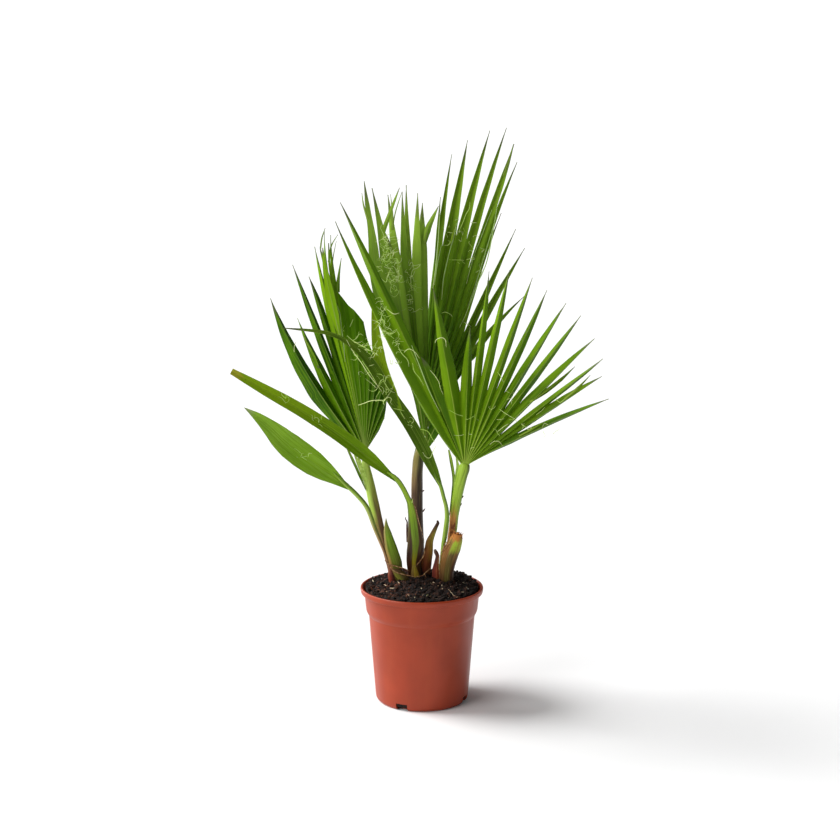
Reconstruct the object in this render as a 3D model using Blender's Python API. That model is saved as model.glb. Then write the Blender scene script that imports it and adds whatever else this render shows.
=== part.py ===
"""Young Mexican fan palm, three plants in one moulded nursery pot.

Sizes are in millimetres and become metres when a mesh is made. The origin is on
the pot's axis, on the surface that the pot stands on; +Z is up and -Y is the front.
"""

import math
from collections import namedtuple

import bmesh
import bpy
import numpy as np

MM = 0.001
GAP = 0.3  # clear space between neighbouring pieces

# Pot
POT_HEIGHT = 142.0
RIM_RADIUS = 75.0
LIP_HEIGHT = 7.0
LIP_OVERHANG = 4.4
COLLAR_BOTTOM_RADIUS = 68.0
COLLAR_BOTTOM_HEIGHT = 112.0
SHOULDER_RADIUS = 64.8
SHOULDER_HEIGHT = 107.5
BASE_RADIUS = 57.0
STANDING_RADIUS = 54.0
BASE_ROUNDING = 4.0
WALL = 1.8
FLOOR = 2.6
RING_WIDTH = 9.0
PAD_RADIUS = 16.0
RECESS_DEPTH = 1.0
POT_STEPS = 48
NOTCH_COUNT = 4
NOTCH_FIRST_ANGLE = -114.0  # degrees from +X, a little left of the front
NOTCH_WIDTH = 14.0
NOTCH_HEIGHT = 7.5
NOTCH_DEPTH = 7.0

# Soil
SOIL_EDGE_HEIGHT = 136.5
SOIL_MOUND = 10.5
MOUND_CENTRE = (4.0, 10.0)
MOUND_SPREAD = 44.0
LUMP_HEIGHT = 1.3
SOIL_RINGS = 11
SOIL_STEPS = 36

# Crowns: the clasping leaf bases of the three plants, and how deep each stands in the soil
CROWN_BOTTOM = 96.0
CROWN_TOP = 157.0
CROWN_SIDES = 16
LEFT_CROWN = (-33.0, 8.0, 12.5)  # centre x, centre y, radius
CENTRE_CROWN = (-5.0, 25.0, 16.0)
RIGHT_CROWN = (29.0, 2.0, 15.5)

# Leaves
CURVE_STEPS = 200  # steps in which a curve's length is measured
BLADE = 0.8  # thickness square to the leaf, about 0.7 square to the side of a fold
ROOT_RADIUS = 8.0
JOINED_ROWS = 4
FREE_ROWS = 5
TIP_HALF = 0.45  # half a finger's width at its tip
SWELL = 0.2  # how far out along its free part a finger is widest
SWING_FORWARD = 0.35  # a finger that swings aside comes forward by this share, clear of its neighbour
PETIOLE_SIDES = 8
THORN = 3.2

# One finger of a fan: its tip's lean from upright and distance from the hub as seen
# from the front, its tilt to the front in degrees, where it parts from the next finger,
# how far its middle bows to the right, how far its free end swings to the right, and
# its full width past the split where that is more than its share of the fan.
Finger = namedtuple("Finger", "lean length tilt split bow swing width", defaults=(0.0, 0.0, 0.0))


def smooth_path(points, count):
    """A Catmull-Rom curve through the points, read at `count` even distances."""
    p = np.asarray(points, float)
    p = np.vstack([2 * p[0] - p[1], p, 2 * p[-1] - p[-2]])
    t = np.linspace(0, len(p) - 3 - 1e-9, CURVE_STEPS)
    i = t.astype(int)
    f = (t - i)[:, None]
    a, b, c, d = p[i], p[i + 1], p[i + 2], p[i + 3]
    line = 0.5 * (2 * b + (c - a) * f + (2 * a - 5 * b + 4 * c - d) * f**2 + (3 * b - a - 3 * c + d) * f**3)
    way = np.append(0, np.cumsum(np.linalg.norm(np.diff(line, axis=0), axis=1)))
    even = np.linspace(0, way[-1], count)
    return np.column_stack([np.interp(even, way, line[:, k]) for k in range(3)])


def unit(v):
    """The vectors at length one."""
    return v / np.linalg.norm(v, axis=-1, keepdims=True)


def grid_triangles(rows, columns, first=0):
    """Two triangles for each cell of a grid of points, rows running away from the root."""
    r, c = np.meshgrid(np.arange(rows - 1), np.arange(columns - 1), indexing="ij")
    a = (first + r * columns + c).ravel()
    b, d = a + 1, a + columns
    return np.vstack([np.column_stack([a, b, d + 1]), np.column_stack([a, d + 1, d])])


def thicken(points, up, triangles):
    """A closed solid from a sheet: a face half the blade's thickness up and another as
    far down, and walls along the sheet's edges."""
    shift = up * BLADE / 2
    edges = np.vstack([triangles[:, [0, 1]], triangles[:, [1, 2]], triangles[:, [2, 0]]])
    known = set(map(tuple, edges.tolist()))
    rim = np.array([e for e in edges.tolist() if (e[1], e[0]) not in known])
    n = len(points)
    a, b = rim[:, 0], rim[:, 1]
    walls = np.vstack([np.column_stack([b, a, a + n]), np.column_stack([b, a + n, b + n])])
    return np.vstack([points + shift, points - shift]), np.vstack([triangles, triangles[:, ::-1] + n, walls])


def fan(hub, facing, fingers, first_split, outer=(0.5, 0.5), skew=1.0, pleat=0.42):
    """A pleated fan. Each finger's midrib runs from the hub to its tip, and the blade
    between two midribs folds up, square to the fan, on the side of `facing`. Out to the
    split the fingers share that fold; past it each one narrows evenly to its tip.
    `outer` is how far the two outermost edges lie past their midribs, in midrib
    spacings, and `skew` moves the fullest part of the bows outwards."""
    hub = np.asarray(hub, float)
    lean = np.radians([f.lean for f in fingers])
    reach = np.array([f.length for f in fingers], float)
    tilt = np.radians([f.tilt for f in fingers])
    chord = np.column_stack([reach * np.sin(lean), -reach * np.tan(tilt), reach * np.cos(lean)])
    length = np.linalg.norm(chord, axis=1)
    n = len(fingers)
    index = np.arange(n)
    up = unit(np.cross(chord[np.minimum(index + 2, n - 1)], chord[np.maximum(index - 2, 0)]))
    up *= np.sign(up @ np.asarray(facing, float))[:, None]
    side = unit(np.cross(chord, up))
    bow = side * np.array([f.bow for f in fingers])[:, None]
    swing = np.array([f.swing for f in fingers], float)
    swing = np.column_stack([swing, -SWING_FORWARD * np.abs(swing), 0 * swing])
    split = np.array([first_split] + [f.split for f in fingers], float)
    middle = (split[:-1] + split[1:]) / 2
    fullest = skew / (1 + skew)

    def rib(i, radius):
        t = (radius / length[i])[..., None]
        loose = np.clip((radius - middle[i]) / (length[i] - middle[i]), 0, 1)[..., None]
        arched = (t / fullest) ** skew * (1 - t) / (1 - fullest)
        return hub + chord[i] * t + bow[i] * arched + swing[i] * loose**2

    right = np.minimum(np.arange(n + 1), n - 1)
    left = np.maximum(np.arange(n + 1) - 1, 0)
    fold_up = unit(up[left] + up[right])

    def fold(radius):
        """The points of all n + 1 folds at their own radius, raised by the pleat."""
        p, q = rib(left, radius), rib(right, radius)
        p[0] = q[0] + 2 * outer[0] * (q[0] - rib(np.array([1]), radius[:1])[0])
        q[n] = p[n] + 2 * outer[1] * (p[n] - rib(np.array([n - 2]), radius[n:])[0])
        rise = pleat * np.linalg.norm(q - p, axis=1, keepdims=True) / 2
        return (p + q) / 2 + fold_up * rise, rise

    rows = []
    for j in range(JOINED_ROWS + 1):
        share = j / JOINED_ROWS
        edge, rise = fold(ROOT_RADIUS + (split - ROOT_RADIUS) * share)
        drop = (rise[:-1] + rise[1:]) / 2
        row = np.empty((2 * n + 1, 3))
        row[0::2] = edge
        row[1::2] = rib(index, ROOT_RADIUS + (middle - ROOT_RADIUS) * share) - up * drop
        rows.append(row)
    width = 2 * n + 1
    row_up = np.empty((width, 3))
    row_up[0::2] = fold_up
    row_up[1::2] = up
    points = [np.vstack(rows)]
    points_up = [np.tile(row_up, (JOINED_ROWS + 1, 1))]
    triangles = [grid_triangles(JOINED_ROWS + 1, width)]
    left_arm = edge[:-1] - rib(index, split[:-1])
    right_arm = edge[1:] - rib(index, split[1:])
    seat = JOINED_ROWS * width
    first = (JOINED_ROWS + 1) * width
    for i in range(n):
        own = np.array([i])
        u = np.arange(1, FREE_ROWS + 1) / FREE_ROWS
        least = np.maximum(fingers[i].width / 2 * np.minimum(u / SWELL, (1 - u) / (1 - SWELL)), TIP_HALF)
        free = np.empty((FREE_ROWS, 3, 3))
        for column, start, arm in ((0, split[i], left_arm[i]), (2, split[i + 1], right_arm[i])):
            half = np.linalg.norm(arm)
            reached = np.maximum(half * (1 - u), least)[:, None]
            free[:, column] = rib(own, start + (length[i] - start) * u) + arm / half * reached
        sunk = np.maximum(drop[i] * (1 - u), pleat * least)[:, None]
        free[:, 1] = rib(own, middle[i] + (length[i] - middle[i]) * u) - up[i] * sunk
        points.append(free.reshape(-1, 3))
        points_up.append(np.tile(up[i], (3 * FREE_ROWS, 1)))
        t = grid_triangles(FREE_ROWS + 1, 3, first - 3)
        foot = np.array([seat + 2 * i, seat + 2 * i + 1, seat + 2 * i + 2])
        triangles.append(np.where(t < first, foot[np.clip(t - first + 3, 0, 2)], t))
        first += 3 * FREE_ROWS
    return thicken(np.vstack(points), np.vstack(points_up), np.vstack(triangles))


def strap(path, widths, facing, rows=12, columns=4, fold=0.25, pleat=0.06):
    """An undivided leaf along a path: a shallow trough with fine pleats, its width
    read along the list of widths."""
    line = smooth_path(path, rows + 1)
    along = unit(np.gradient(line, axis=0))
    side = unit(np.cross(along, np.asarray(facing, float)))
    up = np.cross(side, along)
    t = np.linspace(0, 1, rows + 1)
    half = np.interp(t, np.linspace(0, 1, len(widths)), widths) / 2
    s = np.linspace(-1, 1, columns + 1)
    zigzag = pleat * np.where(np.arange(columns + 1) % 2, 1.0, -1.0)
    lift = fold * np.abs(s) + zigzag
    across = s[None, :, None] * side[:, None] + lift[None, :, None] * up[:, None]
    grid = line[:, None] + half[:, None, None] * across
    grid_up = np.repeat(up, columns + 1, axis=0)
    return thicken(grid.reshape(-1, 3), grid_up, grid_triangles(rows + 1, columns + 1))


def tube(path, radii, count=9, sides=PETIOLE_SIDES, flat=1.0):
    """A closed tapering stalk along a path; `flat` is its depth over its width."""
    line = smooth_path(path, count)
    along = unit(np.gradient(line, axis=0))
    across = unit(np.cross(along, np.array([0.0, -1.0, 0.0])))
    deep = np.cross(along, across)
    radius = np.interp(np.linspace(0, 1, count), np.linspace(0, 1, len(radii)), radii)
    angle = (np.arange(sides) * 2 * math.pi / sides)[None, :, None]
    ring = np.cos(angle) * across[:, None] + flat * np.sin(angle) * deep[:, None]
    points = (line[:, None] + radius[:, None, None] * ring).reshape(-1, 3)
    quads = []
    for r in range(count - 1):
        for k in range(sides):
            a, b = r * sides + k, r * sides + (k + 1) % sides
            quads += [(a, b, b + sides), (a, b + sides, a + sides)]
    for k in range(1, sides - 1):
        quads.append((0, k + 1, k))
        end = (count - 1) * sides
        quads.append((end, end + k, end + k + 1))
    return points, np.array(quads)


def thorn(foot, tip):
    """One small marginal thorn, a four-sided spike."""
    foot, tip = np.asarray(foot, float), np.asarray(tip, float)
    return tube([foot, (foot + tip) / 2, tip], (1.3, 0.8, 0.15), count=3, sides=4)


def mesh_of(name, points, triangles):
    """A mesh in metres from points in millimetres."""
    mesh = bpy.data.meshes.new(name)
    mesh.from_pydata((points * MM).tolist(), [], triangles.tolist())
    bm = bmesh.new()
    bm.from_mesh(mesh)
    bmesh.ops.recalc_face_normals(bm, faces=bm.faces)
    bm.to_mesh(mesh)
    bm.free()
    return mesh


def add_object(name, mesh, material=None):
    """An object for a mesh, shaded smooth but for its folds."""
    thing = bpy.data.objects.new(name, mesh)
    bpy.context.scene.collection.objects.link(thing)
    if material:
        mesh.materials.clear()
        mesh.materials.append(material)
        mesh.shade_smooth()
        mesh.set_sharp_from_angle(angle=math.radians(35))
    return thing


def settle(thing):
    """Applies the object's modifiers to its mesh."""
    evaluated = thing.evaluated_get(bpy.context.evaluated_depsgraph_get())
    mesh = bpy.data.meshes.new_from_object(evaluated)
    thing.modifiers.clear()
    thing.data = mesh


def keep_skin(mesh):
    """Keeps the mesh's largest shell: a hollow that the fusing sealed is filled by this,
    and a loose scrap goes."""
    bm = bmesh.new()
    bm.from_mesh(mesh)
    waiting = set(bm.faces)
    shells = []
    while waiting:
        border = [waiting.pop()]
        shell = []
        while border:
            face = border.pop()
            shell.append(face)
            near = {other for edge in face.edges for other in edge.link_faces} & waiting
            waiting -= near
            border.extend(near)
        shells.append(shell)
    shells.sort(key=lambda shell: sum(face.calc_area() for face in shell))
    for shell in shells[:-1]:
        bmesh.ops.delete(bm, geom=shell, context="FACES")
    bm.to_mesh(mesh)
    bm.free()


def grown_together(name, pieces, material):
    """One body from pieces that overlap, by one Boolean union on a collection."""
    parts = [add_object(f"{name}_part_{i}", mesh_of(f"{name}_part_{i}", *p)) for i, p in enumerate(pieces)]
    group = bpy.data.collections.new(name)
    for part in parts[1:]:
        group.objects.link(part)
    union = parts[0].modifiers.new("union", "BOOLEAN")
    union.operation = "UNION"
    union.operand_type = "COLLECTION"
    union.collection = group
    union.solver = "EXACT"
    settle(parts[0])
    keep_skin(parts[0].data)
    add_object(name, parts[0].data, material)
    for part in parts:
        bpy.data.objects.remove(part)
    bpy.data.collections.remove(group)


def finish(name, colour, roughness):
    """A plain surface of one colour."""
    material = bpy.data.materials.new(name)
    material.use_nodes = True
    shader = material.node_tree.nodes["Principled BSDF"]
    shader.inputs["Base Color"].default_value = (*colour, 1)
    shader.inputs["Roughness"].default_value = roughness
    shader.inputs["Metallic"].default_value = 0.0
    return material


def turned(name, profile, steps):
    """A closed profile of (radius, height) turned about the pot's axis."""
    mesh = bpy.data.meshes.new(name)
    count = len(profile)
    points = [(r * MM, 0, z * MM) for r, z in profile]
    mesh.from_pydata(points, [(i, i + 1) for i in range(count - 1)], [])
    bm = bmesh.new()
    bm.from_mesh(mesh)
    spin = {"geom": bm.verts[:] + bm.edges[:], "axis": (0, 0, 1), "cent": (0, 0, 0)}
    bmesh.ops.spin(bm, angle=2 * math.pi, steps=steps, **spin)
    bmesh.ops.remove_doubles(bm, verts=bm.verts, dist=0.00005)
    bmesh.ops.recalc_face_normals(bm, faces=bm.faces)
    bm.to_mesh(mesh)
    bm.free()
    return mesh


def cut(thing, cutter):
    """Cuts the cutter from the object, then drops the cutter."""
    cutter.hide_render = True
    cutter.display_type = "WIRE"
    difference = thing.modifiers.new("cut", "BOOLEAN")
    difference.operation = "DIFFERENCE"
    difference.object = cutter
    difference.solver = "EXACT"
    settle(thing)
    bpy.data.objects.remove(cutter)


def notch_cutter():
    """Blocks that open the drain notches through the corner of wall and floor."""
    bm = bmesh.new()
    for k in range(NOTCH_COUNT):
        angle = math.radians(NOTCH_FIRST_ANGLE + 360 / NOTCH_COUNT * k)
        out = np.array([math.cos(angle), math.sin(angle)])
        across = np.array([-out[1], out[0]])
        corners = []
        for z in (-2.0, NOTCH_HEIGHT):
            for reach, shift in ((0, -1), (1, -1), (1, 1), (0, 1)):
                radius = STANDING_RADIUS + BASE_ROUNDING + 3 if reach else STANDING_RADIUS + 1 - NOTCH_DEPTH
                p = out * radius + across * shift * NOTCH_WIDTH / 2
                corners.append(bm.verts.new((p[0] * MM, p[1] * MM, z * MM)))
        low, high = corners[:4], corners[4:]
        bm.faces.new(low[::-1])
        bm.faces.new(high)
        for i in range(4):
            j = (i + 1) % 4
            bm.faces.new((low[i], low[j], high[j], high[i]))
    bmesh.ops.recalc_face_normals(bm, faces=bm.faces)
    mesh = bpy.data.meshes.new("notches")
    bm.to_mesh(mesh)
    bm.free()
    return add_object("notches", mesh)


def outer_wall():
    """The outside of the pot from its standing ring up to the top of its lip."""
    lip_bottom = POT_HEIGHT - LIP_HEIGHT
    rounding = []
    for a in (30, 60):
        along = math.radians(a)
        rounding.append((STANDING_RADIUS + (BASE_RADIUS - STANDING_RADIUS) * math.sin(along),
                         BASE_ROUNDING * (1 - math.cos(along))))
    return [
        (STANDING_RADIUS, 0),
        *rounding,
        (BASE_RADIUS, BASE_ROUNDING),
        (SHOULDER_RADIUS, SHOULDER_HEIGHT),
        (COLLAR_BOTTOM_RADIUS, COLLAR_BOTTOM_HEIGHT),
        (RIM_RADIUS - LIP_OVERHANG, lip_bottom),
        (RIM_RADIUS - 0.8, lip_bottom),
        (RIM_RADIUS, lip_bottom + 0.8),
        (RIM_RADIUS, POT_HEIGHT - 1.2),
        (RIM_RADIUS - 1.2, POT_HEIGHT),
    ]


def inner_wall():
    """The inside of the pot from the top of its lip down to the floor."""
    return [
        (RIM_RADIUS - 2.4, POT_HEIGHT),
        (RIM_RADIUS - 3.2, POT_HEIGHT - 1.0),
        (RIM_RADIUS - LIP_OVERHANG - WALL, POT_HEIGHT - LIP_HEIGHT),
        (COLLAR_BOTTOM_RADIUS - WALL, COLLAR_BOTTOM_HEIGHT),
        (SHOULDER_RADIUS - WALL, SHOULDER_HEIGHT),
        (BASE_RADIUS - WALL + 0.1, BASE_ROUNDING + 0.6),
        (STANDING_RADIUS - WALL + 0.6, FLOOR),
    ]


def build_pot():
    """Moulded pot: lip, collar, tapering wall, and a floor on a ring and a pad."""
    ring = STANDING_RADIUS - RING_WIDTH
    underside = [(0, 0), (PAD_RADIUS, 0), (PAD_RADIUS + 1, RECESS_DEPTH), (ring - 1, RECESS_DEPTH), (ring, 0)]
    mesh = turned("pot", underside + outer_wall() + inner_wall() + [(0, FLOOR)], POT_STEPS)
    blank = add_object("pot_blank", mesh)
    cut(blank, notch_cutter())
    add_object("pot", blank.data, finish("terracotta_plastic", (0.42, 0.10, 0.05), 0.42))
    bpy.data.objects.remove(blank)


def soil_height(x, y):
    """Height of the soil's surface: level near the wall, mounded round the stems, lumpy."""
    away = ((x - MOUND_CENTRE[0]) ** 2 + (y - MOUND_CENTRE[1]) ** 2) / MOUND_SPREAD**2
    lumps = np.sin(0.29 * x + 0.6) * np.sin(0.31 * y - 0.4) + 0.6 * np.sin(0.53 * x - 0.21 * y + 1.1)
    return SOIL_EDGE_HEIGHT + SOIL_MOUND * np.exp(-away) + LUMP_HEIGHT * lumps


def build_soil():
    """Potting soil filling the pot, with a plain hole for each crown."""
    wall = [(r - GAP, z) for r, z in inner_wall()[2:]][::-1]
    wall[0] = (wall[0][0], FLOOR + GAP)
    top_radius = RIM_RADIUS - LIP_OVERHANG - WALL - GAP + 0.2
    angle = np.arange(SOIL_STEPS) * 2 * math.pi / SOIL_STEPS
    east, north = np.cos(angle), np.sin(angle)
    rings = []
    for radius, z in wall:
        rings.append(np.column_stack([radius * east, radius * north, np.full(SOIL_STEPS, z)]))
    for k in range(SOIL_RINGS):
        radius = top_radius * (1 - k / SOIL_RINGS)
        x, y = radius * east, radius * north
        rings.append(np.column_stack([x, y, soil_height(x, y)]))
    points = np.vstack(rings + [[[0, 0, FLOOR + GAP]], [[0, 0, float(soil_height(0.0, 0.0))]]])
    low, high = len(points) - 2, len(points) - 1
    triangles = []
    for r in range(len(rings)):
        for k in range(SOIL_STEPS):
            a, b = r * SOIL_STEPS + k, r * SOIL_STEPS + (k + 1) % SOIL_STEPS
            if r == 0:
                triangles.append((b, a, low))
            if r == len(rings) - 1:
                triangles.append((a, b, high))
            else:
                triangles += [(a, b, b + SOIL_STEPS), (a, b + SOIL_STEPS, a + SOIL_STEPS)]
    blank = add_object("soil_blank", mesh_of("soil_blank", points, np.array(triangles)))
    for x, y, radius in (LEFT_CROWN, CENTRE_CROWN, RIGHT_CROWN):
        path = [(x, y, CROWN_BOTTOM - GAP), (x, y, CROWN_TOP), (x, y, CROWN_TOP + 30)]
        hole = tube(path, (radius + GAP, radius + GAP), count=3, sides=CROWN_SIDES)
        cut(blank, add_object("hole", mesh_of("hole", *hole)))
    add_object("soil", blank.data, finish("peat_soil", (0.03, 0.018, 0.012), 0.95))
    bpy.data.objects.remove(blank)


def crown_base(crown):
    """The plain round foot of a plant, in its hole in the soil."""
    x, y, radius = crown
    path = [(x, y, CROWN_BOTTOM), (x, y, 130), (x, y, CROWN_TOP - 7), (x, y, CROWN_TOP)]
    return tube(path, (radius * 0.8, radius, radius, radius * 0.86), count=4, sides=CROWN_SIDES)


# Where each leaf stalk leaves its clasping base: the point, the stalk's way there, its radius
SEATS = {
    "left_fan": ((-49, 11, 207), (-52, 12, 219), 5.4),
    "lance": ((-47, 0, 186), (-53, -2, 203), 3.6),
    "strap": ((-8.5, 2, 205), (-9.5, 0, 222), 6.6),
    "centre_front_fan": ((-6, 20, 200), (-6, 20, 215), 7.2),
    "centre_back_fan": ((-6, 36, 200), (-6, 36, 215), 7.0),
    "bent": ((29, -6, 193), (29.5, -8, 210), 3.0),
    "right_fan": ((36, 5, 212), (38, 1, 226), 5.9),
}


def seat_path(name, below):
    """A clasping base's path, from inside the crown to just under the stalk."""
    seat, onward, _ = SEATS[name]
    along = unit(np.array(onward, float) - seat)
    return [*below, tuple(seat - along * 12), tuple(seat - along * GAP / 2)]


def stalk_path(name, above):
    """A stalk's path, from just over its clasping base on to its leaf."""
    seat, onward, _ = SEATS[name]
    along = unit(np.array(onward, float) - seat)
    return [tuple(seat + along * GAP / 2), onward, *above]


def build_crowns():
    """The clasping leaf bases and cut or dried stubs of the three plants."""
    bark = finish("leaf_base", (0.16, 0.06, 0.03), 0.7)
    left = [
        crown_base(LEFT_CROWN),
        tube(seat_path("left_fan", [(-35, 10, 140), (-40, 11, 172)]), (8.5, 7.4, 6.4, 5.6)),
        tube(seat_path("lance", [(-36, 4, 140), (-40, 3, 165)]), (7, 6, 4.6, 3.9)),
        tube([(-31, 3, 146), (-33, 0, 172), (-37, -2, 200), (-43, -3, 228)], (8.6, 7.2, 4.4, 0.7), flat=0.6),
    ]
    grown_together("crown_left", left, bark)
    centre = [
        crown_base(CENTRE_CROWN),
        tube(seat_path("centre_front_fan", [(-5, 22, 140), (-6, 20, 170)]), (11, 9.6, 8.4, 7.4)),
        tube(seat_path("centre_back_fan", [(-5, 31, 150), (-6, 35, 172)]), (8, 9, 8, 7.2)),
        tube(seat_path("strap", [(-7, 16, 152), (-9, 7, 172)]), (8, 9.4, 8, 6.8), flat=0.7),
        tube([(1, 20, 152), (8, 13, 174), (12, 11, 198), (20, 10, 223)], (7, 8.5, 5.6, 0.9), flat=0.6),
    ]
    grown_together("crown_centre", centre, bark)
    right = [
        crown_base(RIGHT_CROWN),
        tube(seat_path("right_fan", [(29, 6, 140), (30, 9, 175)]), (9, 8, 7, 6.2)),
        tube(seat_path("bent", [(26, 0, 142), (27, -3, 165)]), (7, 5, 3.8, 3.3)),
        tube([(31, -1, 152), (33, -6, 168), (37, -9, 185), (43, -12, 206)], (10, 9.6, 9, 7.4), flat=0.8),
        tube([(21, 0, 149), (19, -2, 163), (18.5, -3, 176), (16.5, -4, 189)], (6, 5, 3, 1.2), flat=0.7),
    ]
    grown_together("crown_right", right, bark)


def thorns_on(x, y, radius, heights):
    """Thorns up both margins of an upright stalk, left and right in turn."""
    found = []
    for k, z in enumerate(heights):
        turn = 1 if k % 2 else -1
        foot = (x + turn * (radius - 1.2), y, z)
        found.append(thorn(foot, (x + turn * (radius + THORN - 1), y - 0.5, z + 2.5)))
    return found


LEFT_FINGERS = (
    Finger(-30.8, 219, 0, 92, -10),
    Finger(-26.0, 182, -1, 95, -4),
    Finger(-20.6, 243, -2, 118),
    Finger(-17.0, 223, -3, 150, 2),
    Finger(-12.4, 258, -4, 192, 2, 0, 5),
    Finger(-9.6, 276, -5, 196, 1, 0, 5),
    Finger(-7.6, 275, -6, 162, 0, 0, 5),
    Finger(-5.0, 178, -7, 158),
    Finger(-1.6, 161, -8, 136),
    Finger(2.4, 138, -9, 114),
    Finger(8.0, 115, -10, 94),
    Finger(15.0, 93, -11, 67),
    Finger(24.0, 72, -12, 52, 3),
)

CENTRE_FRONT_FINGERS = (
    Finger(-13.3, 327, 10, 236, -15),
    Finger(-11.8, 315, 8, 240, -12),
    Finger(-10.4, 312, 6, 236, -10, 21, 8),
    Finger(-8.7, 309, 4, 222, -8),
    Finger(-6.3, 309, 2, 262, -6),
    Finger(-4.6, 316, 0.5, 224, -4),
    Finger(-2.6, 304, -1, 255, -2),
    Finger(-1.2, 292, -2.5, 222),
    Finger(0.4, 296, -4, 205, 0, 20, 9),
)

CENTRE_BACK_FINGERS = (
    Finger(3.4, 294, -4.5, 205),
    Finger(4.9, 292, -5, 215),
    Finger(6.5, 347, -5.5, 235),
    Finger(9.4, 366, -6, 245),
    Finger(12.4, 381, -6.5, 250),
    Finger(15.4, 390, -7, 214),
    Finger(17.7, 374, -7.5, 290),
    Finger(19.1, 354, -8, 262),
    Finger(20.6, 292, -8.5, 142),
    Finger(24.6, 279, -10.5, 152, -2, 0, 11),
    Finger(29.0, 263, -11.5, 134, -4.6, 0, 11),
    Finger(35.6, 212, -12.5, 96, -8, 5, 9),
)

RIGHT_FINGERS = (
    Finger(-27.0, 331, 8, 60, -13, 0, 8),
    Finger(-24.7, 346, 10, 66, -6, 0, 11),
    Finger(-9.8, 224, 14, 97, -2),
    Finger(1.4, 176, 17, 106),
    Finger(6.0, 246, 18, 122),
    Finger(10.9, 248, 19, 106),
    Finger(17.1, 246, 20, 113),
    Finger(21.8, 241, 20.5, 112),
    Finger(28.2, 234, 21, 94),
    Finger(33.6, 231, 20.5, 109),
    Finger(40.8, 221, 20, 62, 1),
    Finger(47.4, 211, 18.5, 130),
    Finger(52.6, 196, 17, 77, -2),
    Finger(61.3, 188, 15, 62, -6),
)


def build_fans():
    """The four divided leaves, each with its stalk."""
    leaf = finish("palm_leaf", (0.10, 0.24, 0.02), 0.45)
    hub = (-69, 20, 304)
    stalk = tube(stalk_path("left_fan", [(-61, 14, 247), (-66, 17, 277), hub, (-70, 19.5, 318)]),
                 (5.4, 5.0, 5.2, 5.6, 5.4, 1.5), count=10, flat=0.7)
    grown_together("left_fan", [stalk, fan(hub, (0.1, -1, 0.15), LEFT_FINGERS, 88, outer=(0.9, 0.5))], leaf)

    hub = (7, 14, 312)
    stalk = tube(stalk_path("centre_front_fan", [(-6, 20, 255), (-2, 18, 290), hub, (9, 13, 331)]),
                 (7.2, 7.2, 7.0, 6.6, 5.4, 1.5), count=10, flat=0.85)
    spines = thorns_on(-6, 20, 7.0, (218, 236, 252, 270))
    blade = fan(hub, (0.6, -1, 0.1), CENTRE_FRONT_FINGERS, 215, skew=1.6)
    grown_together("centre_front_fan", [stalk, blade, *spines], leaf)

    hub = (-1, 34, 316)
    stalk = tube(stalk_path("centre_back_fan", [(-6, 36, 255), (-5, 36, 290), hub, (0, 32, 335)]),
                 (7.0, 7.0, 6.6, 6.0, 5.0, 1.5), count=10, flat=0.85)
    blade = fan(hub, (-0.2, -1, 0.2), CENTRE_BACK_FINGERS, 180, outer=(0.5, 0.35))
    grown_together("centre_back_fan", [stalk, blade], leaf)

    hub = (51, -20, 294)
    stalk = tube(stalk_path("right_fan", [(41, -9, 255), (47, -18, 283), hub, (54, -23, 308)]),
                 (5.9, 5.7, 5.8, 6.0, 5.2, 1.5), count=10, flat=0.75)
    blade = fan(hub, (0.15, -1, 0.3), RIGHT_FINGERS, 80, outer=(0.5, 0.9))
    grown_together("right_fan", [stalk, blade], leaf)


def build_undivided_leaves():
    """The lance leaf, the strap leaf with its worn end, and the bent two-lobed leaf."""
    leaf = finish("young_palm_leaf", (0.14, 0.30, 0.03), 0.5)
    base = (-91, -10, 270)
    way = stalk_path("lance", [(-70, -8, 247), base, (-107, -11, 283)])
    stalk = tube(way, (3.6, 3.2, 2.8, 2.6, 0.8), count=8)
    path = [(-87, -9.8, 265), (-105, -11, 279), (-122, -12, 291), (-145, -13, 308), (-163, -14, 323),
            (-179, -15, 339), (-195, -17, 354), (-211, -18, 366)]
    widths = (3, 13, 23, 30, 32, 31, 26, 18, 10, 1)
    grown_together("lance_leaf", [stalk, strap(path, widths, (-0.1, -1, 0.5), rows=14)], leaf)

    base = (-32, -25, 280)
    way = stalk_path("strap", [(-14, -6, 240), (-22, -15, 263), base, (-47, -31, 295)])
    stalk = tube(way, (6.6, 5.8, 3.0, 2.7, 2.4, 0.8), count=10, flat=0.8)
    path = [(-29, -23, 277), base, (-60, -34, 306), (-96, -42, 336), (-140, -50, 367), (-183, -55, 393),
            (-221, -60, 416)]
    widths = (3, 9, 15, 18, 18, 17.5, 17, 16, 15, 13, 10, 6)
    grown_together("strap_leaf", [stalk, strap(path, widths, (0.1, -1, 0.6), rows=16)], leaf)

    base = (22, -14, 270)
    stalk = tube(stalk_path("bent", [(29, -10, 245), base, (14, -17, 286)]), (3, 2.8, 2.6, 2.4, 0.8), count=8)
    left = [(24, -13.5, 266), (14, -17, 289), (-3, -22, 325), (-18, -25, 352), (-34, -28, 376),
            (-47, -30, 397), (-56, -32, 414), (-69, -35, 432), (-89, -38, 448), (-114, -42, 459),
            (-163, -46, 465)]
    left_widths = (3, 11, 16, 17, 17, 16.5, 16, 14, 10, 6, 4.5, 3, 1)
    right = [(-26, -27, 364), (-38, -26, 388), (-48, -23, 414), (-53, -21, 441), (-56, -20, 471),
             (-58, -19, 503)]
    right_widths = (6, 14, 15.5, 15, 11, 6, 1)
    left_lobe = strap(left, left_widths, (0.35, -1, 0.45), rows=18)
    right_lobe = strap(right, right_widths, (0.3, -1, 0.2), rows=10)
    grown_together("bent_leaf", [stalk, left_lobe, right_lobe], leaf)


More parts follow.
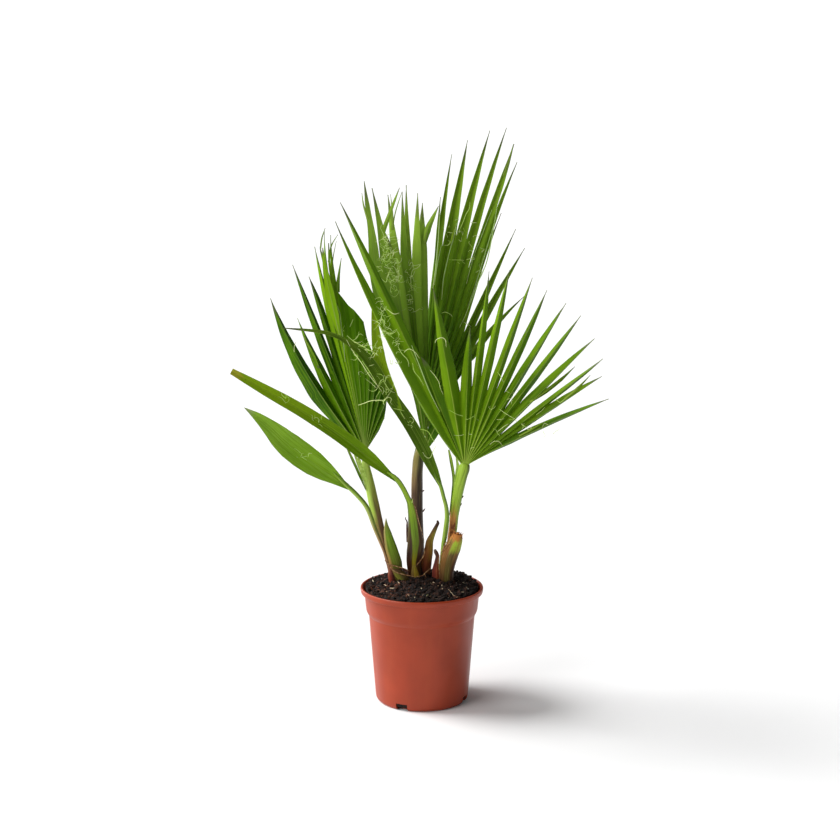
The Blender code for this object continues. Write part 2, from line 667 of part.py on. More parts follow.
def main():
    """Clears the scene and builds every piece."""
    for thing in list(bpy.data.objects):
        bpy.data.objects.remove(thing)
    build_pot()
    build_soil()
    build_crowns()
    build_fans()
    build_undivided_leaves()


main()
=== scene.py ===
import math

import bmesh
import bpy
import numpy as np
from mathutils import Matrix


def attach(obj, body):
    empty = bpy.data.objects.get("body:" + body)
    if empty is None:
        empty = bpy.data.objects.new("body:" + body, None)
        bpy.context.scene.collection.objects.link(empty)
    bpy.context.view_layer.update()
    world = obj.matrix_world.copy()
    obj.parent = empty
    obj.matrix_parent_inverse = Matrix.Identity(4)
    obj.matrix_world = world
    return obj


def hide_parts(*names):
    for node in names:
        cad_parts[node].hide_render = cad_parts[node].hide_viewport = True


# Looks of a young fan palm in a nursery pot. Sizes are in millimetres and angles in
# degrees, and become metres when a mesh is made. +Z is up and -Y is the front.

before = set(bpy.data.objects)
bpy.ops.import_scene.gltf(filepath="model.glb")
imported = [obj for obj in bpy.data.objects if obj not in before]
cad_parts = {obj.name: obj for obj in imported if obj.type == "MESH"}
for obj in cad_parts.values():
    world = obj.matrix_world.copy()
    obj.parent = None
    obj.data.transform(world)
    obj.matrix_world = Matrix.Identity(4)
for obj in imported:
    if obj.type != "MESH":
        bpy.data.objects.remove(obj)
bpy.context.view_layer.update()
mm = 0.001
front = np.array([0.0, -1.0, 0.0])
rng = np.random.default_rng(20)


# Shapes: each is (points, faces, marks). A face has four corners, the last of them -1
# on a triangle. The marks are these values for every point, read by the materials.
markNames = ("along", "across", "ribGap", "edgeGap", "tone", "under", "u", "v")
farGap = 9  # the ribGap and edgeGap of what has no rib or edge, in mm


def unit(v):  # each vector divided by its own length
    return v / np.maximum(np.linalg.norm(v, axis=-1, keepdims=True), 1e-12)


def runLength(line):  # how far along a line each of its points lies
    return np.append(0, np.cumsum(np.linalg.norm(np.diff(line, axis=0), axis=1)))


def smoothPath(points, count):
    # Catmull-Rom curve through the points, measured in short steps and read at even distances
    p = np.asarray(points, float)
    p = np.vstack([2 * p[0] - p[1], p, 2 * p[-1] - p[-2]])
    t = np.linspace(0, len(p) - 3 - 1e-9, 60 * len(p))
    i = t.astype(int)
    f = (t - i)[:, None]
    a, b, c, d = p[i], p[i + 1], p[i + 2], p[i + 3]
    line = 0.5 * (2 * b + (c - a) * f + (2 * a - 5 * b + 4 * c - d) * f**2
                  + (3 * b - a - 3 * c + d) * f**3)
    way = runLength(line)
    even = np.linspace(0, way[-1], count)
    return np.column_stack([np.interp(even, way, line[:, k]) for k in range(3)])


def along(values, count):  # a list of values spread evenly and read at `count` even places
    return np.interp(np.linspace(0, 1, count), np.linspace(0, 1, len(values)), values)


def gridFaces(index):  # quads between neighbouring rows and columns of an array of point numbers
    a, b = index[..., :-1, :-1], index[..., :-1, 1:]
    c, d = index[..., 1:, 1:], index[..., 1:, :-1]
    return np.stack([a, b, c, d], -1).reshape(-1, 4)


def joined(shapes):  # several shapes as one, each one's point numbers moved on by those before it
    first = np.cumsum([0] + [len(s[0]) for s in shapes[:-1]])
    faces = [np.where(s[1] < 0, -1, s[1] + n) for s, n in zip(shapes, first)]
    return np.vstack([s[0] for s in shapes]), np.vstack(faces), np.vstack([s[2] for s in shapes])


def thickSheet(points, ups, faces, marks, thickness):
    # a closed blade: the sheet moved half its thickness up and down, with walls on its free edges
    n = len(points)
    a = faces.ravel()
    b = np.roll(faces, -1, axis=1).ravel()
    free = ~np.isin(b * n + a, a * n + b)
    walls = np.column_stack([b[free], a[free], a[free] + n, b[free] + n])
    shift = ups * thickness / 2
    below = marks.copy()
    below[:, markNames.index("under")] = 1
    allFaces = np.vstack([faces, faces[:, ::-1] + n, walls])
    return np.vstack([points + shift, points - shift]), allFaces, np.vstack([marks, below])


def markColumns(count, **given):  # the marks of `count` points, 0 where none is given
    marks = np.zeros((count, len(markNames)))
    for name, value in given.items():
        marks[:, markNames.index(name)] = np.ravel(value)
    return marks


def ringShape(line, radii, sides, flat=1.0, flutes=0, fluteDepth=0.0, tone=0.5):
    # a stalk along a line: ring point = line + radius * (cos a * across + flat * sin a * forward),
    # the radius waved by cos(flutes * a); its ends are closed by a fan of triangles
    count = len(line)
    direction = unit(np.gradient(line, axis=0))
    across = unit(np.cross(direction, front + 0.05 * direction.mean(0)))
    forward = np.cross(direction, across)
    angle = np.arange(sides) * 2 * math.pi / sides
    waved = 1 + fluteDepth * np.cos(flutes * angle)
    ring = ((np.cos(angle) * waved)[:, None] * across[:, None]
            + (flat * np.sin(angle) * waved)[:, None] * forward[:, None])
    points = (line[:, None] + radii[:, None, None] * ring).reshape(-1, 3)
    index = np.arange(count * sides).reshape(count, sides)
    faces = gridFaces(np.column_stack([index, index[:, 0]]))
    fanOut = np.arange(1, sides - 1)
    last = index[-1]
    low = np.column_stack([0 * fanOut, fanOut + 1, fanOut, 0 * fanOut - 1])
    high = np.column_stack([last[0] + 0 * fanOut, last[fanOut], last[fanOut + 1], 0 * fanOut - 1])
    way = runLength(line)
    marks = markColumns(
        len(points), along=np.repeat(np.linspace(0, 1, count), sides), across=np.tile(np.cos(angle), count),
        ribGap=farGap, edgeGap=farGap, tone=tone, under=np.tile(np.sin(angle), count),
        u=np.tile(radii.mean() * angle, count), v=np.repeat(way, sides))
    return points, np.vstack([faces, low, high]), marks


def stalkShape(rows, count, sides, **more):
    # a ring shape along a smooth path; a row is x, y, z and radius, and the radius is read at the
    # same share of the way as the place
    p = np.array(rows, float)
    way = runLength(p[:, :3])
    radii = np.interp(np.linspace(0, way[-1], count), way, p[:, 3])
    return ringShape(smoothPath(p[:, :3], count), radii, sides, **more)


def fanShape(leaf):
    # Finger i's midrib runs from the hub to its tip: hub + chord * t + bow + swing. Between two
    # midribs the blade folds up by pleat * half their distance. Out to the split the fingers share
    # that fold, and past it each narrows by 1 - s ** fullness while it turns by its own twist.
    # A negative pleat turns the fold over, so that the midribs are its ridges.
    fingers = np.array([tuple(x) + (0,) * (7 - len(x)) for x in leaf["fingers"]], float)
    lean, reach, tilt, splits, bowed, swung, fullWidth = fingers.T
    lean, tilt = np.radians(lean), np.radians(tilt)
    n, half, rows, freeRows = len(fingers), leaf["columns"], leaf["joinedRows"] + 1, leaf["freeRows"]
    own = np.arange(n)
    hub, pleat, root = np.array(leaf["hub"], float), leaf["pleat"], leaf["root"]
    chord = np.column_stack([reach * np.sin(lean), -reach * np.tan(tilt), reach * np.cos(lean)])
    length = np.linalg.norm(chord, axis=1)
    before, after = np.maximum(own - leaf["span"], 0), np.minimum(own + leaf["span"], n - 1)
    up = unit(np.cross(chord[after], chord[before]))
    up *= np.sign(up @ np.array(leaf["facing"], float))[:, None]
    bow = unit(np.cross(chord, up)) * bowed[:, None]
    swing = np.column_stack([swung, -leaf["swingForward"] * np.abs(swung), 0 * swung])
    split = np.append(leaf["firstSplit"], splits)
    middle = (split[:-1] + split[1:]) / 2
    room = np.clip((length - middle) / leaf["calmEnd"], 0, 1)
    fullest = leaf["skew"] / (1 + leaf["skew"])
    curl = np.random.default_rng(leaf["seed"]).normal(0, 1, (n, 3))

    def rib(i, radius):  # the place on finger i's midrib at this distance from the hub
        i = np.broadcast_to(i, np.shape(radius))
        t = (radius / length[i])[..., None]
        loose = np.clip((radius - middle[i]) / np.maximum(length[i] - middle[i], 1), 0, 1)[..., None]
        arched = (np.maximum(t, 0) / fullest) ** leaf["skew"] * (1 - t) / (1 - fullest)
        lifted = up[i] * loose**2 * (curl[i, 0] * room[i] * leaf["tipLift"])[..., None]
        return hub + chord[i] * t + bow[i] * arched + swing[i] * loose**2 + lifted

    def acrossFinger(low, mid, high, last):
        # columns from a finger's first fold by its rib to its second, `last` of them from the rib on
        to, on = ((np.arange(k) / half).reshape((-1,) + (1,) * (mid.ndim - 2)) for k in (half, last))
        low, mid, high = low[:, :, None], mid[:, :, None], high[:, :, None]
        return np.concatenate([low * (1 - to) + mid * to, mid * (1 - on) + high * on], 2)

    def closed(block, last):  # the fingers' columns side by side in each row, and the last fold
        return np.concatenate([block.reshape(rows, -1, *block.shape[3:]), last], 1)

    # the folds and ribs out to the splits
    left, right = np.maximum(np.arange(n + 1) - 1, 0), np.minimum(np.arange(n + 1), n - 1)
    foldUp = unit(up[left] + up[right])
    share = np.linspace(0, 1, rows)[:, None]
    edgeReach, midReach = root + (split - root) * share, root + (middle - root) * share
    p, q = rib(left, edgeReach), rib(right, edgeReach)
    p[:, 0] = q[:, 0] + 2 * leaf["outer"][0] * (q[:, 0] - rib(1, edgeReach[:, 0]))
    q[:, n] = p[:, n] + 2 * leaf["outer"][1] * (p[:, n] - rib(n - 2, edgeReach[:, n]))
    folds = np.append(np.broadcast_to(leaf["folds"], n), 1)[:, None]
    rise = pleat * folds * np.linalg.norm(q - p, axis=2, keepdims=True) / 2
    edge = (p + q) / 2 + foldUp * rise
    drop = (rise[:, :-1] + rise[:, 1:]) / 2
    nudge = np.broadcast_to(leaf["nudge"], n)[:, None] / 2  # moves a rib off the middle of its finger
    mid = rib(own, midReach) - up * drop + (edge[:, 1:] - edge[:, :-1]) * nudge

    # the joined part of the blade
    w = np.arange(half) / half
    signed = np.concatenate([w - 1, w])
    belly = (4 * w * (1 - w) * leaf["belly"])[:, None] * (rise[:, :-1, None] / pleat)
    bellies = np.concatenate([foldUp[:-1, None] * belly, foldUp[1:, None] * belly], 2)
    sheet = closed(acrossFinger(edge[:, :-1], mid, edge[:, 1:], half) + bellies, edge[:, -1:])
    spacing = np.linalg.norm(edge[:, 1:] - edge[:, :-1], axis=2) / 2
    wide, outermost = spacing[:, :, None], spacing[:, -1:]
    v = closed(acrossFinger(edgeReach[:, :-1], midReach, edgeReach[:, 1:], half), edgeReach[:, -1:])
    whole = np.maximum(length, leaf["wholeReach"])
    tone = np.array(leaf["tones"], float)
    farther, toneAcross = (np.append(np.repeat(x, 2 * half), x[-1]) for x in (whole, tone))
    across = np.append((folds[:n] * signed).ravel(), folds[n])
    sheetUp = acrossFinger(foldUp[None, :-1], up[None], foldUp[None, 1:], half).reshape(-1, 3)
    sheetUp = unit(np.vstack([sheetUp, foldUp[-1:]]))
    sheetMarks = markColumns(
        v.size, along=v / farther, across=np.tile(across, rows), tone=np.tile(toneAcross, rows),
        ribGap=closed(wide * np.abs(signed), outermost), u=closed(wide * signed, outermost), v=v,
        edgeGap=closed(wide * (1 - np.abs(signed)), 0 * outermost) + leaf["marginFrom"])

    # the free fingers: s runs from the split to the tip
    s = np.arange(1, freeRows + 1)[None] / freeRows
    narrowing = 1 - s ** np.array(leaf["fullness"], float)[:, None]
    swell = np.minimum(s / leaf["swell"], ((1 - s) / (1 - leaf["swell"])) ** leaf["taper"])
    least = np.maximum(fullWidth[:, None] / 2 * swell, leaf["tipHalf"])
    turn = (np.radians(leaf["twist"]) * curl[:, 1:2] * room[:, None] * s**2)[..., None]
    axis = unit(chord)[:, None]

    def margin(start, arm):  # one edge of every finger, its distance from the rib and from the hub
        reached = np.maximum(np.linalg.norm(arm, axis=1)[:, None] * narrowing, least)
        ray = unit(arm)[:, None]
        ray = ray * np.cos(turn) + np.cross(axis, ray) * np.sin(turn)
        crinkle = 1 + leaf["crinkle"] * np.sin(start[:, None] + 19 * s + 4 * curl[:, 2:3])[..., None]
        radius = start[:, None] + (length - start)[:, None] * s
        return rib(own[:, None], radius) + ray * reached[..., None] * crinkle, reached, radius

    leftEdge, leftWide, leftWay = margin(split[:-1], edge[-1, :-1] - rib(own, split[:-1]))
    rightEdge, rightWide, rightWay = margin(split[1:], edge[-1, 1:] - rib(own, split[1:]))
    sunk = np.sign(pleat) * np.maximum(np.abs(drop[-1]) * narrowing, abs(pleat) * least)[..., None]
    midWay = middle[:, None] + (length - middle)[:, None] * s
    centre = rib(own[:, None], midWay) - up[:, None] * sunk + (rightEdge - leftEdge) * nudge[:, None]
    free = acrossFinger(leftEdge, centre, rightEdge, half + 1)
    freeWay = acrossFinger(leftWay, midWay, rightWay, half + 1)
    freeAcross = np.append(signed, 1.0)
    widths = np.concatenate([np.repeat(leftWide[..., None], half, 2),
                             np.repeat(rightWide[..., None], half + 1, 2)], 2)
    away = np.abs(freeAcross) * widths
    freeMarks = markColumns(
        freeWay.size, along=freeWay / whole[:, None, None], across=freeAcross * folds[:n, None] + 0 * widths,
        tone=tone[:, None, None] + 0 * widths, ribGap=away, u=freeAcross * widths, v=freeWay,
        edgeGap=widths - away + leaf["marginFrom"] * (1 - s[..., None]))

    count = 2 * half + 1
    index = np.arange(v.size).reshape(rows, -1)
    foot = index[-1][(own * 2 * half)[:, None] + np.arange(count)]
    fingerIndex = v.size + np.arange(freeWay.size).reshape(n, freeRows, count)
    faces = [gridFaces(index), gridFaces(np.concatenate([foot[:, None], fingerIndex], 1))]
    ups = [np.tile(sheetUp, (rows, 1)), np.repeat(up, freeRows * count, axis=0)]
    return thickSheet(np.vstack([sheet.reshape(-1, 3), free.reshape(-1, 3)]), np.vstack(ups),
                      np.vstack(faces), np.vstack([sheetMarks, freeMarks]), leaf["thickness"])


def strapShape(leaf):
    # an undivided leaf along a path: point = path + s * half width * side + lift * half width * up,
    # lift = fold * |s| + pleat * cos(pleats * pi * s) + a slow wave of the margins, so the blade
    # is a shallow trough with fine folds
    rows, columns = leaf["rows"], leaf["columns"]
    line = smoothPath(leaf["path"], rows + 1)
    direction = unit(np.gradient(line, axis=0))
    side = unit(np.cross(direction, np.array(leaf["facing"], float)))
    up = np.cross(side, direction)
    half = along(leaf["widths"], rows + 1) / 2
    s = np.linspace(-1, 1, columns + 1)
    trough = leaf["fold"] * np.abs(s) + leaf["pleat"] * np.cos(leaf["pleats"] * math.pi * s)
    wave = leaf["wave"] * np.sin(np.linspace(0, 9, rows + 1))[:, None] * np.abs(s) ** 2 * np.sign(s)
    lift = trough + wave
    offset = s[None, :, None] * side[:, None] + lift[..., None] * up[:, None]
    points = line[:, None] + half[:, None, None] * offset
    way = runLength(line)
    ribGap = half[:, None] * np.abs(s)
    marks = markColumns(
        ribGap.size, along=(way / way[-1])[:, None] + 0 * ribGap, across=s + 0 * ribGap, ribGap=ribGap,
        edgeGap=half[:, None] - ribGap, tone=leaf["tone"], u=half[:, None] * s, v=way[:, None] + 0 * ribGap)
    faces = gridFaces(np.arange(ribGap.size).reshape(rows + 1, columns + 1))
    ups = np.repeat(up, columns + 1, axis=0)
    return thickSheet(points.reshape(-1, 3), ups, faces, marks, leaf["thickness"])


def threadShape(starts, headings, lengths, curls, radius, depth=0.25, steps=20, sides=4):
    # many threads at once: the heading turns by curl along the thread and by a sharp kink here
    # and there, and the thread is the running sum of its steps; it thins towards its end
    n = len(starts)
    s = np.linspace(0, 1, steps)[None]
    kinks = rng.normal(0, 1.3, (n, steps)) * (rng.uniform(0, 1, (n, steps)) < 0.14)
    heading = headings[:, None] + curls[:, None] * s + np.cumsum(kinks, 1)
    out = depth * np.sin(6 * s + 6 * rng.uniform(0, 1, (n, 1))) * rng.normal(0, 1, (n, 1))
    step = np.stack([np.sin(heading), out, np.cos(heading)], -1) * (lengths / steps)[:, None, None]
    line = np.asarray(starts)[:, None] + np.cumsum(step, 1) - step[:, :1]
    direction = unit(np.gradient(line, axis=1))
    across = unit(np.cross(direction, np.array([0.3, -0.9, 0.3])))
    forward = np.cross(direction, across)
    angle = np.arange(sides) * 2 * math.pi / sides
    ring = np.cos(angle)[:, None] * across[:, :, None] + np.sin(angle)[:, None] * forward[:, :, None]
    thin = radius * (1 - 0.6 * s)[..., None, None]
    points = (line[:, :, None] + thin * ring).reshape(-1, 3)
    index = np.arange(n * steps * sides).reshape(n, steps, sides)
    faces = gridFaces(np.concatenate([index, index[..., :1]], 2))
    caps = np.vstack([index[:, 0, ::-1], index[:, -1]])
    share = np.broadcast_to(s[..., None], (n, steps, sides))
    tone = np.broadcast_to(rng.uniform(0, 1, (n, 1, 1)), (n, steps, sides))
    marks = markColumns(len(points), along=share, tone=tone, ribGap=farGap, edgeGap=farGap)
    return points, np.vstack([faces, caps]), marks


def rowPoints(row):  # y goes evenly from the first number to the second
    flat = np.array(row[2:], float).reshape(-1, 2)
    return np.column_stack([flat[:, 0], np.linspace(row[0], row[1], len(flat)), flat[:, 1]])


def turnedShape(profile, steps):  # the profile of (radius, height) turned round the pot's axis
    r, z = np.asarray(profile, float).T
    angle = np.arange(steps) * 2 * math.pi / steps
    points = np.stack([np.outer(r, np.cos(angle)), np.outer(r, np.sin(angle)), np.outer(z, np.ones(steps))], -1)
    index = np.arange(len(r) * steps).reshape(len(r), steps)
    way = np.append(0, np.cumsum(np.hypot(np.diff(r), np.diff(z))))
    marks = markColumns(index.size, along=np.repeat(z, steps), u=np.outer(r, angle), v=np.repeat(way, steps))
    return points.reshape(-1, 3), gridFaces(np.column_stack([index, index[:, 0]])), marks


def roundedProfile(corners, steps=5):
    # corners are (radius, height, rounding): each corner is cut back by its rounding on both
    # sides, at most 0.45 of the way to the next, and a quadratic curve towards it joins the cuts
    c = np.asarray(corners, float)
    p, size = c[1:-1, :2], c[1:-1, 2:]
    before, after = c[:-2, :2] - p, c[2:, :2] - p
    cutA, cutB = (p + unit(to) * np.minimum(size, np.linalg.norm(to, axis=1, keepdims=True) * 0.45)
                  for to in (before, after))
    t = np.linspace(0, 1, steps)[None, :, None]
    arcs = cutA[:, None] * (1 - t) ** 2 + 2 * p[:, None] * t * (1 - t) + cutB[:, None] * t**2
    return np.vstack([c[:1, :2], arcs.reshape(-1, 2), c[-1:, :2]])


def addPiece(name, shape, material, replaces=(), weld=False, smooth=32):
    # a mesh object from a shape, its marks as attributes and a UV map (one unit is 100 mm), riding
    # on the one body; `smooth` is the angle from which an edge is sharp
    points, faces, marks = shape
    mesh = bpy.data.meshes.new(name)
    quads, triangles = faces[faces[:, 3] >= 0], faces[faces[:, 3] < 0][:, :3]
    mesh.from_pydata((points * mm).tolist(), [], quads.tolist() + triangles.tolist())
    for k, mark in enumerate(markNames[:6]):
        layer = mesh.attributes.new(mark, "FLOAT", "POINT")
        layer.data.foreach_set("value", marks[:, k].astype(np.float32))
    corner = np.empty(len(mesh.loops), np.int32)
    mesh.loops.foreach_get("vertex_index", corner)
    sheet = mesh.uv_layers.new(name="surface")
    sheet.data.foreach_set("uv", (marks[corner][:, 6:8] * 0.01).astype(np.float32).ravel())
    bm = bmesh.new()
    bm.from_mesh(mesh)
    if weld:
        bmesh.ops.remove_doubles(bm, verts=bm.verts, dist=0.00001)
    bmesh.ops.recalc_face_normals(bm, faces=bm.faces)
    bm.to_mesh(mesh)
    bm.free()
    mesh.shade_smooth()
    mesh.set_sharp_from_angle(angle=math.radians(smooth))
    mesh.materials.append(material)
    piece = bpy.data.objects.new(name, mesh)
    bpy.context.scene.collection.objects.link(piece)
    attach(piece, "root")
    if replaces:
        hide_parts(*replaces)
    return piece


# Materials

def linear(code):  # sRGB hex to linear light: c / 12.92, or ((c + 0.055) / 1.055) ** 2.4
    c = np.array([int(code[i:i + 2], 16) / 255 for i in (1, 3, 5)])
    return (*np.where(c <= 0.04045, c / 12.92, ((c + 0.055) / 1.055) ** 2.4).tolist(), 1.0)


def feed(tree, node, inputs):  # each input gets its value, or a link where a socket is given
    for key, value in inputs.items():
        if isinstance(value, bpy.types.NodeSocket):
            tree.links.new(value, node.inputs[key])
        else:
            node.inputs[key].default_value = value


def addNode(tree, kind, settings=None, inputs=None):  # one node with its settings, values and links
    node = tree.nodes.new(kind)
    for name, value in (settings or {}).items():
        setattr(node, name, value)
    feed(tree, node, inputs or {})
    return node


def newMaterial(name, roughness, ior=1.45, specular=0.5):
    material = bpy.data.materials.new(name)
    material.use_nodes = True
    tree = material.node_tree
    shader = tree.nodes["Principled BSDF"]
    feed(tree, shader, {"Roughness": roughness, "IOR": ior, "Specular IOR Level": specular})
    return material, tree, shader


def product(tree, *masks):
    # The masks multiplied. One is a socket or a number, or else a smooth step: its source, where
    # the step starts and ends, and the values there.
    share = None
    for mask in masks:
        if isinstance(mask, tuple):
            keys = ("Value", "From Min", "From Max", "To Min", "To Max")
            mask = addNode(tree, "ShaderNodeMapRange", {"interpolation_type": "SMOOTHSTEP"},
                           dict(zip(keys, mask))).outputs["Result"]
        share = mask if share is None else addNode(
            tree, "ShaderNodeMath", {"operation": "MULTIPLY"}, {0: share, 1: mask}).outputs[0]
    return share


def weighted(tree, *parts, start=0.0):  # the sum of sources times weights, kept from 0 to 1
    for source, weight in parts:
        start = addNode(tree, "ShaderNodeMath", {"operation": "MULTIPLY_ADD", "use_clamp": True},
                        {0: source, 1: weight, 2: start}).outputs[0]
    return start


def layColours(tree, body, layers):  # colours laid over one another, each with the masks it shows by
    for colour, *masks in layers:
        over = linear(colour) if isinstance(colour, str) else colour
        body = addNode(tree, "ShaderNodeMix", {"data_type": "RGBA"},
                       {0: product(tree, *masks), 6: body, 7: over}).outputs[2]
    return body


def noise(tree, sizes, detail=2.0, onSurface=False):
    # noise in grains of `sizes` mm: through the row's own space, or across and along the surface
    # map, whose unit is 100 mm
    if onSurface:
        place, whole = addNode(tree, "ShaderNodeUVMap", {"uv_map": "surface"}).outputs[0], 100
    else:
        place, whole = addNode(tree, "ShaderNodeTexCoord").outputs["Object"], 1000
    scaled = addNode(tree, "ShaderNodeMapping", {},
                     {"Vector": place, "Scale": (whole / np.broadcast_to(sizes, 3)).tolist()})
    return addNode(tree, "ShaderNodeTexNoise", {},
                   {"Vector": scaled.outputs[0], "Scale": 1.0, "Detail": detail}).outputs["Fac"]


def coat(tree, shader, colour, height, depth):  # the shader's colour, and a relief of `depth` mm
    bump = addNode(tree, "ShaderNodeBump", {}, {"Height": height, "Strength": 1.0, "Distance": depth * mm})
    feed(tree, shader, {"Base Color": colour, "Normal": bump.outputs[0]})


def shineThrough(tree, shader, share, colour):
    # thin living tissue: some of the light comes through from the other side, yellower
    glow = addNode(tree, "ShaderNodeBsdfTranslucent", {}, {"Color": colour})
    both = addNode(tree, "ShaderNodeMixShader", {}, {0: share, 1: shader.outputs[0], 2: glow.outputs[0]})
    feed(tree, tree.nodes["Material Output"], {"Surface": both.outputs[0]})


leafLook = {  # colours of a blade, the strength of what is laid over them, and sizes in mm
    "deep": "#2A5204", "fresh": "#6A960C", "veins": "#739A14", "lit": "#8FAE22", "shade": "#1E4402",
    "base": "#688F14", "ribColour": "#9DB354", "margin": "#7F9638", "back": "#4C7420", "dry": "#5C5A48",
    # the fold strengths here are painted shade and painted light on the two halves of each fold
    "glow": "#88B80A", "bright": "#A2C41C", "vein": 1.5, "rib": 0.9, "ribStrength": 0.85, "paintedFoldShade": 0.4,
    "paintedFoldLight": 0.25, "paintedFoldLightFrom": -1.0, "litSide": 1, "tipLight": 0.0, "dryFrom": 0.93, "dryTo": 1.03,
    "through": 0.12, "shiny": 0.4, "dull": 0.56,
}


def leafMaterial(name, look):
    # living palm blade: waxy and satin, with long parallel veins, a pale raised rib in each
    # fold, lighter margins, and tips that have dried to grey-brown
    material, tree, shader = newMaterial(name, look["shiny"], 1.42, 0.1)
    blade, side, ribGap, edgeGap, tone, under = (
        addNode(tree, "ShaderNodeAttribute", {"attribute_name": mark}).outputs["Fac"] for mark in markNames[:6])
    # real veins are 0.5 mm apart, too fine to show, so they are drawn about three times as wide
    veins = noise(tree, (look["vein"], 70, 100), onSurface=True)
    broad = noise(tree, 34)
    ragged = weighted(tree, (blade, 1), (noise(tree, (2.5, 30, 100), onSurface=True), 0.09))
    rib = product(tree, (ribGap, look["rib"], 0.25))
    # painted light and shade: the half of each fold that faces the light is painted lighter, and the other half
    # painted darker
    paintedFoldEnds = (0.25 * look["litSide"], -0.5 * look["litSide"])
    paintedFoldLightOut = (blade, look["paintedFoldLightFrom"], look["paintedFoldLightFrom"] + 0.35, 0.3, 1)
    body = layColours(tree, linear(look["deep"]), (
        (look["fresh"], weighted(tree, (tone, 0.75), (product(tree, (broad, 0.35, 0.7)), 0.3))),
        (look["veins"], (veins, 0.42, 0.68, 0, 0.5)),
        (look["shade"], (veins, 0.46, 0.3, 0, 0.35)),
        (look["bright"], (tone, 1, 1.35, 0, 0.85)),
        # painted shade on the half of each fold turned from the light, painted light on the half turned to it,
        # growing outwards along the blade
        (look["shade"], (side, *paintedFoldEnds, look["paintedFoldShade"], 0)),
        (look["lit"], (side, *paintedFoldEnds, 0, look["paintedFoldLight"]), paintedFoldLightOut, (tone, -0.05, 0.3, 0.1, 1)),
        (look["lit"], (blade, 0.3, 0.8, 0, look["tipLight"])),
        (look["base"], (blade, 0.2, 0, 0, 0.5)),
        (look["ribColour"], rib, (blade, 0.75, 0.1, 0.18, look["ribStrength"])),
        (look["margin"], (edgeGap, 0.75, 0.1, 0, 0.65)),
        (look["back"], product(tree, under, 0.35)),
        (look["dry"], (ragged, look["dryFrom"], look["dryTo"], 0, 0.85)),
    ))
    feed(tree, shader, {"Roughness": product(tree, (broad, 0.3, 0.7, look["shiny"], look["dull"]))})
    coat(tree, shader, body, weighted(tree, (veins, 0.5), (rib, 0.5)), 0.35)
    shineThrough(tree, shader, look["through"], layColours(tree, body, ((look["glow"], 0.5),)))
    return material


def stalkMaterial(name, look):
    # living or dried leaf stalk: lengthwise fibres in a smooth skin, its colour changing from
    # base to top and from its left side to its right, partly its own colour and partly painted
    # light: most stalks are painted lighter on the left, where the key light falls
    material, tree, shader = newMaterial(name, look["roughness"], 1.45, 0.3)
    length, side = (addNode(tree, "ShaderNodeAttribute", {"attribute_name": mark}).outputs["Fac"]
                    for mark in ("along", "across"))
    grain = noise(tree, (1.6, 40, 100), onSurface=True)
    spots = noise(tree, 2.2, 4.0)
    moved = weighted(tree, (grain, 0.25), (length, 1), start=-0.1125)
    colours = {}
    for part in ("left", "right", "middle"):
        if part in look:
            node = addNode(tree, "ShaderNodeValToRGB", {}, {"Fac": moved})
            for k, (place, code) in enumerate(look[part]):
                stop = node.color_ramp.elements[k] if k < 2 else node.color_ramp.elements.new(place)
                stop.position = place
                stop.color = linear(code)
            colours[part] = node.outputs["Color"]
    # the right side's colours laid over the left's across the stalk: partly own colour, partly painted light on
    # the left side towards the key light
    layers = [(colours["right"], (side, look["from"], look["to"]))]
    if "middle" in look:  # a stripe up the front, as wide as the midrib
        off = addNode(tree, "ShaderNodeMath", {"operation": "SUBTRACT"}, {0: side, 1: look["stripeAt"]})
        size = addNode(tree, "ShaderNodeMath", {"operation": "ABSOLUTE"}, {0: off.outputs[0]})
        beyond = addNode(tree, "ShaderNodeMath", {"operation": "SUBTRACT"},
                         {0: size.outputs[0], 1: product(tree, (length, 0.15, 0.6, *look["stripe"]))})
        layers.append((colours["middle"], (beyond.outputs[0], 0.2, 0)))
    layers += [(look["light"], (grain, 0.5, 0.72, 0, 0.2)), (look["dark"], (grain, 0.48, 0.28, 0, 0.45)),
               (look["dark"], (spots, 0.6, 0.75, 0, 0.3))]
    body = layColours(tree, colours["left"], layers)
    coat(tree, shader, body, weighted(tree, (grain, 0.6), (spots, 0.3)), look["depth"])
    return material


def plasticMaterial(look):
    # injection-moulded polypropylene: a satin skin with faint flow lines down the wall, a
    # little dust in streaks and specks, and rubbed marks that are glossier
    material, tree, shader = newMaterial("mouldedTerracottaPolypropylene", look["shiny"], 1.49, 0.36)
    flow = noise(tree, (16, 16, 133.3), 3.0)
    cloud, specks, fine = noise(tree, 40), noise(tree, 1.6), noise(tree, 0.8, 3.0)
    body = layColours(tree, linear(look["deep"]), (
        (look["body"], (cloud, 0.3, 0.7)),
        (look["dust"], (flow, 0.45, 0.75, 0, 0.25)),
        (look["dust"], (specks, 0.7, 0.78, 0, 0.25)),
    ))
    feed(tree, shader, {"Roughness": product(tree, (flow, 0.35, 0.7, look["shiny"], look["dull"]))})
    coat(tree, shader, body, weighted(tree, (fine, 0.4), (cloud, 0.6)), 0.12)
    return material


def peatMaterial(look):
    # moist peat: crumbs and fibres from near black to red-brown, dull, and darker in broad patches
    material, tree, shader = newMaterial("moistPeat", 0.9, 1.4)
    tone = addNode(tree, "ShaderNodeAttribute", {"attribute_name": "tone"}).outputs["Fac"]
    body = layColours(tree, linear(look["black"]), (
        (look["brown"], (noise(tree, 5, 5.0), 0.38, 0.68)),
        (look["fibre"], (tone, 0.25, 1, 0, 0.75)),
        (look["fibre"], (noise(tree, (3, 12, 3), 3.0), 0.56, 0.7, 0, 0.6)),
        (look["black"], (noise(tree, 26), 0.6, 0.4, 0, 0.6)),
    ))
    coat(tree, shader, body, noise(tree, 1.6, 5.0), 1.4)
    return material


